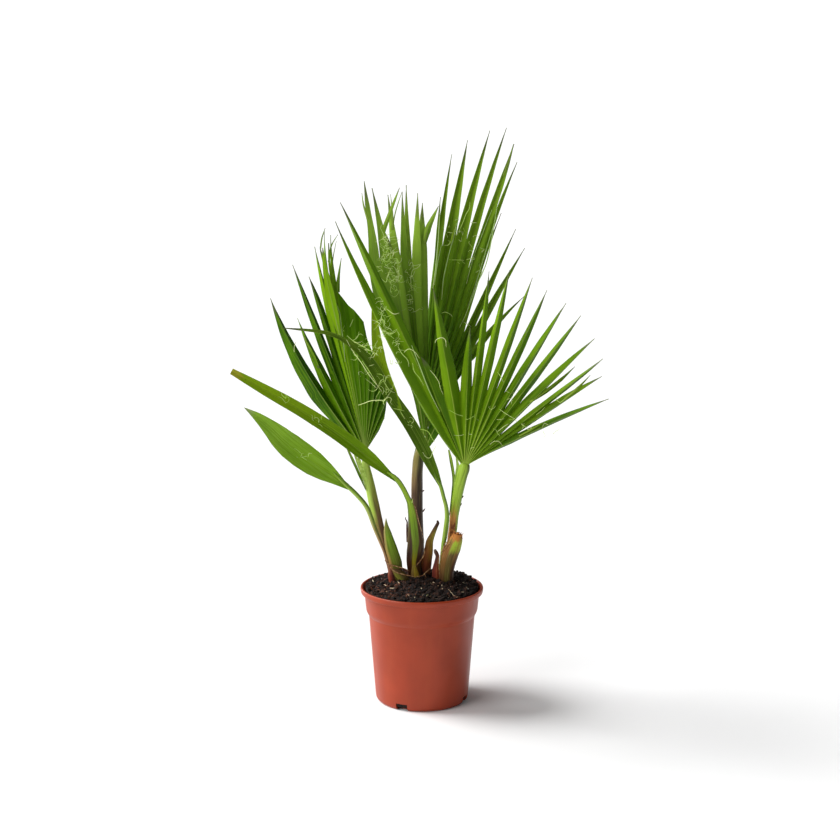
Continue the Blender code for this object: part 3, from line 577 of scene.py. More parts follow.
def plainMaterial(name, light, dark, size, roughness):
    # dry fibre, root, skin or perlite: dull, in two shades that change in grains of `size` mm
    material, tree, shader = newMaterial(name, roughness)
    grains = noise(tree, size, 4.0)
    coat(tree, shader, layColours(tree, linear(dark), ((light, (grains, 0.35, 0.65)),)), grains, 0.2)
    return material


def threadMaterial(name, young, old):
    # marginal fibres: dry pale strings, yellow-green where young and straw where old
    material, tree, shader = newMaterial(name, 0.6)
    tone, length = (addNode(tree, "ShaderNodeAttribute", {"attribute_name": mark}).outputs["Fac"]
                    for mark in ("tone", "along"))
    colour = layColours(tree, linear(young), ((old, tone),))
    feed(tree, shader, {"Base Color": layColours(tree, colour, (("#DAD8A8", (length, 0.7, 1)),))})
    shineThrough(tree, shader, 0.5, colour)
    return material


# Pot
potSizes = {
    "height": 142.0, "rim": 75.0, "lipHeight": 7.0, "lipOver": 5.0, "collarFoot": (68.0, 112.0),
    "shoulder": (64.8, 107.5), "base": 57.0, "standing": 53.4, "baseRounding": 5.0, "wall": 1.8, "floor": 2.6,
    "ring": 9.0, "pad": 16.0, "recess": 1.0, "steps": 176, "sharpFrom": 32,
    "notches": (-116.0, -21.0, 66.0, 156.0), "notchWidth": 15.0, "notchHeight": 8.6, "notchDepth": 7.0,
    "look": {"body": "#A23A1A", "deep": "#963415", "dust": "#A84A2A", "shiny": 0.36, "dull": 0.5},
}


def potProfile(s):  # the outline of the wall, from the middle of the underside out, up, in and down
    ring = s["standing"] - s["ring"]
    neck = s["rim"] - s["lipOver"]
    lipFoot = s["height"] - s["lipHeight"]
    collar, shoulder, wall = s["collarFoot"], s["shoulder"], s["wall"]
    return roundedProfile([
        # the underside: its pad, the recess round it and the standing ring
        (0, 0, 0), (s["pad"], 0, 0.4), (s["pad"] + 1, s["recess"], 0.4), (ring - 1, s["recess"], 0.4),
        (ring, 0, 0.4),
        (s["standing"], 0, 1.6), (s["base"] - 0.6, s["baseRounding"] * 0.6, 2.2), (s["base"] + 0.1, 10, 2.5),
        # the body, the step out to the collar and the rolled lip
        (*shoulder, 1.2), (shoulder[0] + 1.2, shoulder[1] + 1.6, 1.2), (collar[0], collar[1] + 1, 2.6),
        (neck + 0.2, lipFoot - 0.4, 0.7), (s["rim"] - 0.9, lipFoot, 0.9),
        (s["rim"], s["height"] - 3, 2), (s["rim"] - 0.4, s["height"], 1.5),
        (s["rim"] - 2.6, s["height"], 0.9),
        # down the inside to the floor
        (s["rim"] - 3.3, s["height"] - 1.2, 0.6), (neck - wall, lipFoot, 1.5),
        (collar[0] - wall, collar[1], 1.5),
        (shoulder[0] - wall, shoulder[1], 1.5), (s["base"] - wall + 0.1, s["baseRounding"] + 0.6, 1.5),
        (s["standing"] - wall + 0.6, s["floor"], 0.8), (0, s["floor"], 0),
    ])


def notchBlocks(s):  # blocks that open the drain notches, one at each angle round the foot
    angle = np.radians(s["notches"])
    out = np.column_stack([np.cos(angle), np.sin(angle), 0 * angle])
    across = np.column_stack([-np.sin(angle), np.cos(angle), 0 * angle])
    near, far = s["standing"] + 1 - s["notchDepth"], s["standing"] + s["baseRounding"] + 4
    corner = np.array([(r, w, z) for z in (-2, s["notchHeight"])
                       for r, w in ((near, -1), (far, -1), (far, 1), (near, 1))])
    points = (out[:, None] * corner[None, :, :1] + across[:, None] * corner[None, :, 1:2] * s["notchWidth"] / 2
              + np.array([0, 0, 1]) * corner[None, :, 2:])
    box = np.array([(3, 2, 1, 0), (4, 5, 6, 7), (0, 1, 5, 4), (1, 2, 6, 5), (2, 3, 7, 6), (3, 0, 4, 7)])
    faces = (box[None] + 8 * np.arange(len(angle))[:, None, None]).reshape(-1, 4)
    return points.reshape(-1, 3), faces, markColumns(8 * len(angle))


def buildPot(s):
    shell = turnedShape(potProfile(s), s["steps"])
    pot = addPiece("plasticPot", shell, plasticMaterial(s["look"]), ["pot"], weld=True)
    blocks = addPiece("notchBlocks", notchBlocks(s), pot.data.materials[0])
    cut = pot.modifiers.new("notches", "BOOLEAN")
    cut.operation = "DIFFERENCE"
    cut.solver = "EXACT"
    cut.object = blocks
    shaped = bpy.data.meshes.new_from_object(pot.evaluated_get(bpy.context.evaluated_depsgraph_get()))
    pot.modifiers.clear()
    pot.data = shaped
    shaped.shade_smooth()
    shaped.set_sharp_from_angle(angle=math.radians(s["sharpFrom"]))
    bpy.data.objects.remove(blocks)
    print("pot: moulded shell with its notches")


buildPot(potSizes)


# Soil
soilSizes = {
    "edge": 140.0, "mound": 12.0, "moundAt": (2.0, 8.0), "moundSpread": 54.0, "lump": 1.3, "top": 68.7,
    "rings": 90, "steps": 200, "roughLow": 1.5, "roughFine": 0.8, "backLump": (44.0, 34.0, 14.0, 3.5),
    # down the side of the pot, from the middle of its floor: radius and height
    "side": ((0.0, 3.0), (53.0, 3.0), (55.0, 5.0), (62.6, 107.0), (65.8, 112.0), (68.4, 137.0)),
    "crumbs": 4200, "crumbSize": (0.35, 2.9), "perlite": 16, "perliteSize": (0.4, 0.9),
    # how many, how far over the soil, lengths, curl, radius, share of their own height, clearance
    "fibres": (420, 0.6, (3, 11), 1.2, 0.4, 0.15, 0.3), "bits": (22, 0.8, (4, 13), 1.6, 0.28, 0.25, 0.4),
    "look": {"black": "#070403", "brown": "#2C160C", "fibre": "#6E3E28"},
}
# the pale bits that lie on top: x and y of each point
paleBits = (
    ((-39, -20), (-35, -26), (-31, -27)), ((-29, -10), (-27, -14)), ((-24, -10), (-21, -6)),
    ((-46, -7), (-43, -18)), ((-61, 20), (-59, 4)), ((19, -26), (20, -20)),
    ((5, -57), (7, -50), (8, -54), (10, -50)), ((32, -28), (34, -34), (37, -47), (39, -50)),
    ((50, 0), (53, 0), (55, -4)), ((47, -38), (51, -36)), ((53, -24), (55, -19)), ((24, -36), (25, -35)),
    ((-1, -34), (0, -36)), ((-17, -50), (-15, -52)), ((-9, -60), (-7, -54)), ((-43, -35), (-41, -34)),
    ((41, -56), (43, -54)), ((13, -12), (15, -23)),
)


def soilHeight(x, y, s):
    # level near the wall, a mound round the stems, one heap at the back right, and lumps
    away = ((x - s["moundAt"][0]) ** 2 + (y - s["moundAt"][1]) ** 2) / s["moundSpread"] ** 2
    lumps = np.sin(0.29 * x + 0.6) * np.sin(0.31 * y - 0.4) + 0.6 * np.sin(0.53 * x - 0.21 * y + 1.1)
    hx, hy, wide, high = s["backLump"]
    heap = high * np.exp(-((x - hx) ** 2 + (y - hy) ** 2) / wide**2)
    rough = s["roughLow"] * np.sin(0.9 * x + 1.3 * np.sin(0.7 * y)) * np.sin(0.8 * y + 1.1 * np.sin(0.6 * x))
    fine = s["roughFine"] * np.sin(2.3 * x + 2 * np.sin(1.7 * y)) * np.sin(2.1 * y + 2 * np.sin(1.9 * x))
    return s["edge"] + s["mound"] * np.exp(-away) + s["lump"] * lumps + heap + (rough + fine) * 0.75


def soilShape(s):  # a closed body: the rough top in rings, a plain side down the pot and a plain floor
    angle = np.arange(s["steps"]) * 2 * math.pi / s["steps"]
    side = np.array(s["side"])
    radius = np.concatenate([side[:, 0], s["top"] * np.linspace(1, 0, s["rings"])])
    x, y = np.outer(radius, np.cos(angle)), np.outer(radius, np.sin(angle))
    z = np.repeat(side[:, 1:], s["steps"], 1)
    z = np.vstack([z, soilHeight(x[len(side):], y[len(side):], s)])
    index = np.arange(z.size).reshape(z.shape)
    points = np.stack([x, y, z], -1).reshape(-1, 3)
    return points, gridFaces(np.column_stack([index, index[:, 0]])), markColumns(len(points))


corner = (1 + 5**0.5) / 2
icosahedron = np.array([  # its corners, brought to a distance of 1 from its middle
    (-1, corner, 0), (1, corner, 0), (-1, -corner, 0), (1, -corner, 0), (0, -1, corner), (0, 1, corner),
    (0, -1, -corner), (0, 1, -corner), (corner, 0, -1), (corner, 0, 1), (-corner, 0, -1), (-corner, 0, 1),
]) / 1.9
icosahedronFaces = np.array([
    (0, 11, 5), (0, 5, 1), (0, 1, 7), (0, 7, 10), (0, 10, 11), (1, 5, 9), (5, 11, 4), (11, 10, 2), (10, 7, 6),
    (7, 1, 8), (3, 9, 4), (3, 4, 2), (3, 2, 6), (3, 6, 8), (3, 8, 9), (4, 9, 5), (2, 4, 11), (6, 2, 10),
    (8, 6, 7), (9, 8, 1),
])


def lumpShapes(centres, sizes, flat=0.75):
    # angular lumps: the 12 corners of an icosahedron, each pushed in or out, squashed and turned;
    # their tones are paler on the left
    n = len(centres)
    pushed = icosahedron[None] * rng.uniform(0.65, 1.25, (n, 12, 1))
    body = pushed * np.stack([rng.uniform(0.7, 1.5, n), rng.uniform(0.7, 1.3, n), np.full(n, flat)], -1)[:, None]
    turn = rng.uniform(0, 2 * math.pi, n)
    cos, sin = np.cos(turn)[:, None], np.sin(turn)[:, None]
    x = body[..., 0] * cos - body[..., 1] * sin
    y = body[..., 0] * sin + body[..., 1] * cos
    points = centres[:, None] + np.stack([x, y, body[..., 2]], -1) * np.asarray(sizes)[:, None, None]
    faces = (icosahedronFaces[None] + 12 * np.arange(n)[:, None, None]).reshape(-1, 3)
    tone = np.repeat(rng.uniform(0, 1, n) ** 3 * np.where(centres[:, 0] < -14, 1.1, 0.4), 12)
    faces = np.column_stack([faces, np.full(len(faces), -1)])
    return points.reshape(-1, 3), faces, markColumns(12 * n, tone=tone)


def scattered(count, s, high=0.0, within=0.985):  # places spread evenly over the soil, `high` above it
    radius = s["top"] * within * np.sqrt(rng.uniform(0, 1, count))
    angle = rng.uniform(0, 2 * math.pi, count)
    x, y = radius * np.cos(angle), radius * np.sin(angle)
    return np.column_stack([x, y, soilHeight(x, y, s)]) + [0, 0, high]


def litterShapes(s, kind):  # threads that lie on the soil, pulled down to it but for a share of their height
    count, high, lengths, curl, radius, share, clearance = s[kind]
    starts, headings = scattered(count, s, high), rng.uniform(0, 2 * math.pi, count)
    long, curls = rng.uniform(*lengths, count), rng.normal(0, curl, count)
    points, faces, marks = threadShape(starts, headings, long, curls, radius, depth=0.9, steps=8)
    ground = soilHeight(points[:, 0], points[:, 1], s)
    points[:, 2] = np.maximum(points[:, 2] * share + ground * (1 - share) + clearance, 130)
    return points, faces, marks


def buildSoil(s):
    peat = peatMaterial(s["look"])
    addPiece("pottingSoil", soilShape(s), peat, ["soil"], weld=True, smooth=180)
    places = scattered(s["crumbs"], s)
    small = (50 * rng.uniform(0, 1, s["crumbs"]) ** 2.6).astype(int)  # most crumbs are small
    addPiece("soilCrumbs", lumpShapes(places, along(s["crumbSize"], 50)[small]), peat, smooth=20)
    fibre = plainMaterial("peatFibre", "#5A3A28", "#1E0F09", 4.0, 0.9)
    addPiece("peatFibres", litterShapes(s, "fibres"), fibre, smooth=60)
    stone = plainMaterial("expandedPerlite", "#D4CCBC", "#948874", 1.5, 0.85)
    places = scattered(s["perlite"], s, 0.6)
    grains = lumpShapes(places, rng.uniform(*s["perliteSize"], s["perlite"]))
    addPiece("perliteGrains", grains, stone, smooth=25)
    seen = [litterShapes(s, "bits")]
    for row in paleBits:
        x, y = np.array(row, float).T
        line = smoothPath(np.column_stack([x, y, soilHeight(x, y, s) + 1.0]), 12)
        seen.append(ringShape(line, along((0.3, 0.6, 0.55, 0.25), 12), 6))
    addPiece("rootBits", joined(seen), plainMaterial("dryRootBits", "#D2C2A2", "#86664A", 2.0, 0.8))
    print("soil: body, crumbs, perlite and root bits")


buildSoil(soilSizes)


# Fan leaves. Each finger: lean, length, tilt, split, bow, swing, full width past the split; what is
# left out is 0. folds, nudge, fullness and tones have one value for each finger.
fanCommon = {
    "columns": 4, "joinedRows": 26, "freeRows": 26, "root": 6.0, "pleat": 0.42, "belly": 0.05, "tipLift": 3.0,
    "twist": 16, "crinkle": 0.02, "tipHalf": 0.42, "swell": 0.2, "swingForward": 0.35, "thickness": 0.45,
    "span": 2, "skew": 1.0, "taper": 1, "outer": (0.5, 0.5), "folds": 1, "nudge": 0, "wholeReach": 0,
    "marginFrom": 6,  # mm from a split where the pale margin begins
    "calmEnd": 25,  # mm past the split below which a finger hardly lifts, swings or twists
}

leftFan = fanCommon | {
    "hub": (-69, 20, 304), "facing": (0.1, -1, 0.15), "firstSplit": 88, "outer": (0.9, 0.5), "seed": 1,
    "pleat": -0.6,
    "wholeReach": 215,
    "fingers": (
        (-30.8, 219, 0, 92, -10), (-26, 182, -1, 95, -4), (-20.6, 243, -2, 118), (-17.4, 223, -3, 172, 2),
        (-14, 256, -4, 192, 1, 3, 5), (-12.2, 272, -5, 190, 1, 9, 5), (-10.4, 266, -6, 196, 0, 8, 5),
        # these end in one whole margin
        (-8.2, 188, -6.5, 179), (-4.4, 172, -7, 166), (-0.6, 157, -8, 136), (3.4, 124, -8.5, 115),
        (8.6, 108, -9.5, 98), (15, 88, -10, 79), (22.5, 69, -10.5, 59), (30, 47, -11.5, 31),
    ),
    "fullness": (1.7, 1.3, 2.0, 2.0, 1.2, 1.1, 1.1) + (1.0,) * 8,
    "folds": (1,) * 4 + (0.5,) * 3 + (0.12,) * 3 + (0.3, 0.6) + (0.8,) * 3,
    "tones": (0.05, 0.6, 0.05, 0.1, 1.35, 1.4, 1.35, 0.75, 0.7, 0.65, 0.4, 0.1, 0.0, 0.0, 0.1),
}

centreFrontFan = fanCommon | {
    "hub": (7, 14, 312), "facing": (0.6, -1, 0.1), "firstSplit": 215, "skew": 1.6, "seed": 2, "pleat": -0.8,
    "fullness": (0.8, 1.4, 1.5, 1.1, 1.1, 1.2, 1.1),
    "fingers": (
        (-10.5, 319, 8, 232, -9.5, -7), (-9.6, 264, 6, 232, -8), (-8.6, 308, 4, 222, -1.5),
        (-5.4, 309, 2, 262, -6), (-4.5, 316, 0.5, 218, -5.5), (-2.2, 305, -1, 257, -4),
        (-1.3, 293, -2.5, 222, 1),
    ),
    "tones": (0.0, 0.15, 0.6, -0.02, 0.08, 0.85, 0.15), "outer": (1.08, 0.8),
}

centreBackFan = fanCommon | {
    "hub": (-1, 34, 316), "facing": (-0.2, -1, 0.2), "firstSplit": 222, "outer": (0.8, 0.35), "seed": 3,
    "pleat": 0.5,
    "fullness": (1.4, 1.1, 1.3, 1.2, 1.4, 2.4, 1.4, 0.8) + (1.4,) * 3,
    "fingers": (
        (4.2, 295, -4.5, 268), (6.2, 347, -5.2, 236, -8.5), (9.05, 366, -6, 252, -6.5),
        (12.2, 381, -6.5, 250, -5), (15.4, 390, -7, 214, -6), (17.6, 374, -7.5, 290, -4),
        (19.0, 354, -8, 262, -2), (19.25, 290, -8.5, 142), (24.6, 279, -10.5, 152, -2, 0, 11),
        (29, 263, -11.5, 134, -4.6, 0, 11), (35.6, 212, -12.5, 96, -8, 5, 9),
    ),
    "tones": (0.7, 0.1, 0.2, 0.35, 0.2, 0.5, 0.7, 0.5, 0.05, 0.0, 0.0),
}

rightFan = fanCommon | {
    "hub": (51, -20, 294), "facing": (0.15, -1, 0.3), "firstSplit": 80, "outer": (0.3, 0.9), "seed": 4,
    "pleat": -0.6, "span": 3, "skew": 0.8, "taper": 0.6,
    "fullness": (0.8, 2.6, 3.4, 1.6, 1.6) + (2.3,) * 10, "folds": (0.6, 0.9, 0.6, 0.6) + (1,) * 11,
    "nudge": (0, 0, 0, 0.35) + (0,) * 11,
    "fingers": (
        (-27, 331, 8, 200, -11, 0, 6.5), (-24.2, 349, 9, 62, 2, 0, 14), (-21, 146, 10, 92, 0, 0, 11),
        (-9.8, 224, 14, 97, -2), (1.4, 176, 17, 106), (6, 246, 18, 122), (10.9, 248, 19, 106),
        (17.1, 246, 20, 113), (21.8, 241, 20.5, 112), (28.2, 234, 21, 94), (33.6, 231, 20.5, 109),
        (40.8, 221, 20, 62), (47.4, 211, 18.5, 130), (52.6, 196, 17, 77, -2), (61.3, 188, 15, 62, -6),
    ),
    "tones": (0.9, 0.45, 0.35, 0.65, 0.3, 0.55, 0.6, 0.45, 0.25, 0.15, 0.15, 0.2, 0.35, 0.25, 0.0),
}


strapCommon = {
    "rows": 90, "columns": 16, "fold": 0.22, "pleat": 0.025, "pleats": 8, "wave": 0.05, "thickness": 0.45,
    "tone": 0.5,
}
# loose strands beside the fingers: widths, tone, then a row of places as for the threads
strands = {
    "left": (
        ((2, 3.5, 3.2, 0.8), 0.2, (17, 15, -92, 313, -81, 289, -73, 270, -68, 258)),
        ((2, 1.6, 0.6), 0.3, (43, 43, -122, 549, -120, 562, -116, 574)),
        ((2.6, 1.8, 0.5), 1.2, (42, 45, -112, 533, -109, 552, -101, 566)),
        ((2.4, 1.2, 0.5), 0.4, (40, 46, -109, 513, -107, 537, -103, 558)),
        ((6.5, 3, 0.5), 0.8, (40, 44, -102, 497, -100, 518, -97, 538)),
        ((0.6, 3.5, 4.5, 2), 0.9, (22, 17, -143, 447, -133, 427, -124, 408)),
        ((0.8, 3.5, 5, 4, 1.5), 1.4, (33, 40, -95, 440, -101, 475, -109, 505, -117, 530, -122, 549)),
        ((0.8, 3, 4, 3, 1.2), 1.4, (33, 41, -94, 435, -100, 470, -106, 502, -111, 530, -112, 556)),
        ((4, 10.5, 10.5, 6, 0.9), 1.5, (27, 36, -99, 446, -105, 472, -111, 499, -116, 526, -119, 551)),
    ),
    "front": (
        ((5, 8, 10, 11, 11, 10.5, 11, 13.5, 14, 11.5, 7.5, 5.2, 0.6), -0.2,
         (0, -44, 2.5, 328.1, -1.1, 354.4, -7.0, 385.4, -20.0, 419.6, -33.5, 446.4, -42.2, 468.3, -47.9, 491.2,
          -51.9, 512.8, -54.4, 533.0, -56.0, 554.3, -58.2, 575.4, -61.7, 598.6, -66.3, 634.2)),
        ((3, 2, 0.5), 0.4, (-47, -46, -62, 590, -67, 607, -69, 621)),
        ((1.5, 3.5, 5, 5, 4.2, 2.8, 0.5), 0.75,
         (-19, -21, -48.4, 539.0, -47.7, 553.1, -46.2, 566.4, -44.1, 577.0, -37.7, 595.0, -32.4, 608.9, -26.0,
          625.4)),
        ((2.5, 2.2, 1.4, 0.4), 0.6, (-7, -9, -34.7, 575.4, -34.4, 591.8, -35.5, 605.8, -36.7, 617.4)),
        ((1.6, 1.4, 1.1, 0.4), 0.3, (-7, -9, -34.4, 577.7, -31.5, 594.1, -27.0, 609.3, -23.2, 620.0)),
        ((4, 8, 5, 0.6), 0.9, (20, 24, 3.1, 556.7, 7.2, 574.4, 13.2, 587.9, 19.7, 601.4)),
    ),
    "back": (((6, 14, 17, 17, 8), 0.0, (30, 30, 3, 305, 11, 322, 20, 342, 27, 363, 34, 382)),
             ((1.2, 1.6, 1.4, 0.5), 0.4, (74, 78, 98.2, 634.4, 104.5, 652.3, 110.9, 672.8)),
             ((0.5, 2.6, 3, 1), 1.3, (61, 55, 43, 579, 39, 569, 34, 552))),
    "right": (
        ((3, 5, 4, 0.5), 0.5, (-66, -62, 125, 381, 143, 393, 161, 407, 177, 422)),
        ((3, 3, 0.5), 0.5, (-72, -74, 165, 386, 180, 399, 194, 414)),
        ((2, 3.8, 3.6, 3.2, 3, 2, 0.6), 0.1, (-13, -6, 32, 314, 35, 300, 38, 280, 37, 261, 35, 245, 33, 231)),
        ((1, 2.4, 0.5), 0.9, (-46, -53, 114, 337, 129, 346, 142, 355)),
    ),
}


def strapShapes(strips, **more):  # strips of leaf; each is widths, tone and a row of places
    return [strapShape(strapCommon | {"path": rowPoints(row), "widths": widths, "tone": tone} | more)
            for widths, tone, row in strips]


fanPieces = (  # piece, leaf, its strands, the node that it replaces, its material and its own colours
    ("leftFanBlade", leftFan, "left", "left_fan", "livingBladeLeft",
     {"deep": "#214E00", "fresh": "#6CA604", "paintedFoldLight": 0.18, "bright": "#9CCE12"}),
    ("centreFrontBlade", centreFrontFan, "front", "centre_front_fan", "livingBladeMiddle",
     {"deep": "#285800", "fresh": "#A2D838", "paintedFoldLight": 0.6, "paintedFoldShade": 0.5, "lit": "#BCE254", "tipLight": 0.3,
      "bright": "#C8EC5C"}),
    ("centreBackBlade", centreBackFan, "back", "centre_back_fan", "livingBladeBack",
     {"deep": "#2A5804", "fresh": "#76A814", "litSide": -1, "paintedFoldLight": 0.5, "lit": "#92B82C", "tipLight": 0.5,
      "paintedFoldLightFrom": 0.35}),
    ("rightFanBlade", rightFan, "right", "right_fan", "livingBladeRight",
     {"deep": "#3A6402", "fresh": "#7CA80E", "rib": 1.1, "ribColour": "#A8C24E", "paintedFoldLight": 0.2}),
)


def buildFans():
    for piece, leaf, group, node, name, look in fanPieces:
        loose = strapShapes(strands[group], facing=(-0.1, -1, 0.1), rows=24, columns=4)
        addPiece(piece, joined([fanShape(leaf)] + loose), leafMaterial(name, leafLook | look), [node])
    print("fans: four pleated blades")


buildFans()


# Undivided leaves
lanceLeaf = strapCommon | {
    "pleat": 0.016, "pleats": 13,
    "path": [(-87, -9.8, 265), (-105, -11, 279), (-122, -12, 291), (-145, -13, 308), (-163, -14, 323),
             (-179, -15, 339), (-195, -17, 354), (-211, -18, 366)],
    "widths": (3, 13, 23, 30, 32, 31, 26, 18, 10, 0.6), "facing": (-0.1, -1, 0.5), "tone": 0.6,
}

strapLeaf = strapCommon | {
    "pleat": 0.014, "pleats": 10,
    "path": [(-29, -23, 277), (-32, -25, 280), (-60, -34, 306), (-96, -42, 336), (-140, -50, 367),
             (-183, -55, 393), (-221, -60, 416)],
    "widths": (3, 9, 15, 18, 18, 17.5, 17, 16, 15, 13, 10.5, 7.5), "facing": (0.1, -1, 0.6), "tone": 0.55,
}

bentLeft = strapCommon | {
    "path": [(24, -13.5, 266), (14, -17, 289), (-3, -22, 325), (-18, -25, 352), (-34, -28, 376),
             (-47, -30, 397), (-56, -32, 414), (-69, -35, 432), (-89, -38, 448), (-114, -42, 459),
             (-163, -46, 465)],
    "widths": (3, 11, 16, 17, 17, 16.5, 16, 14, 10, 6, 4.5, 3, 0.6), "facing": (0.35, -1, 0.45), "tone": 0.3,
}

bentRight = strapCommon | {
    "path": [(-26, -27, 364), (-38, -26, 388), (-48, -23, 414), (-53, -21, 441), (-56, -20, 471),
             (-58, -19, 503)],
    "widths": (6, 14, 15.5, 15, 11, 6, 0.6), "facing": (0.3, -1, 0.2), "rows": 60, "tone": 1.2,
}

brightLook = leafLook | {
    "paintedFoldShade": 0.0, "paintedFoldLight": 0.0, "deep": "#5F9010", "fresh": "#9CC42E", "veins": "#A4C858", "rib": 0.5,
    "ribStrength": 0.4, "vein": 1.2, "through": 0.3,
}
undivided = (  # piece, its leaves, the node that it replaces, its material and its own colours
    ("lanceBlade", (lanceLeaf,), "lance_leaf", "livingBladeLance",
     {"lit": "#A8D04C", "tipLight": 0.3, "dry": "#B4BC8C"}),
    ("strapBlade", (strapLeaf,), "strap_leaf", "livingBladeStrap",
     {"deep": "#4F7A08", "fresh": "#82A810", "veins": "#90B02A", "dry": "#CDB440", "dryFrom": 0.972,
      "dryTo": 1.02, "lit": "#98B81A", "tipLight": 0.6, "through": 0.2}),
    ("bentBlade", (bentLeft, bentRight), "bent_leaf", "livingBladeBent",
     {"deep": "#2E4C06", "fresh": "#6C8C12", "veins": "#7A9A30", "through": 0.1}),
)


def buildUndivided():
    for piece, leaves, node, name, look in undivided:
        shape = joined([strapShape(leaf) for leaf in leaves])
        addPiece(piece, shape, leafMaterial(name, brightLook | look), [node])
    print("undivided leaves: lance, strap and bent")


buildUndivided()


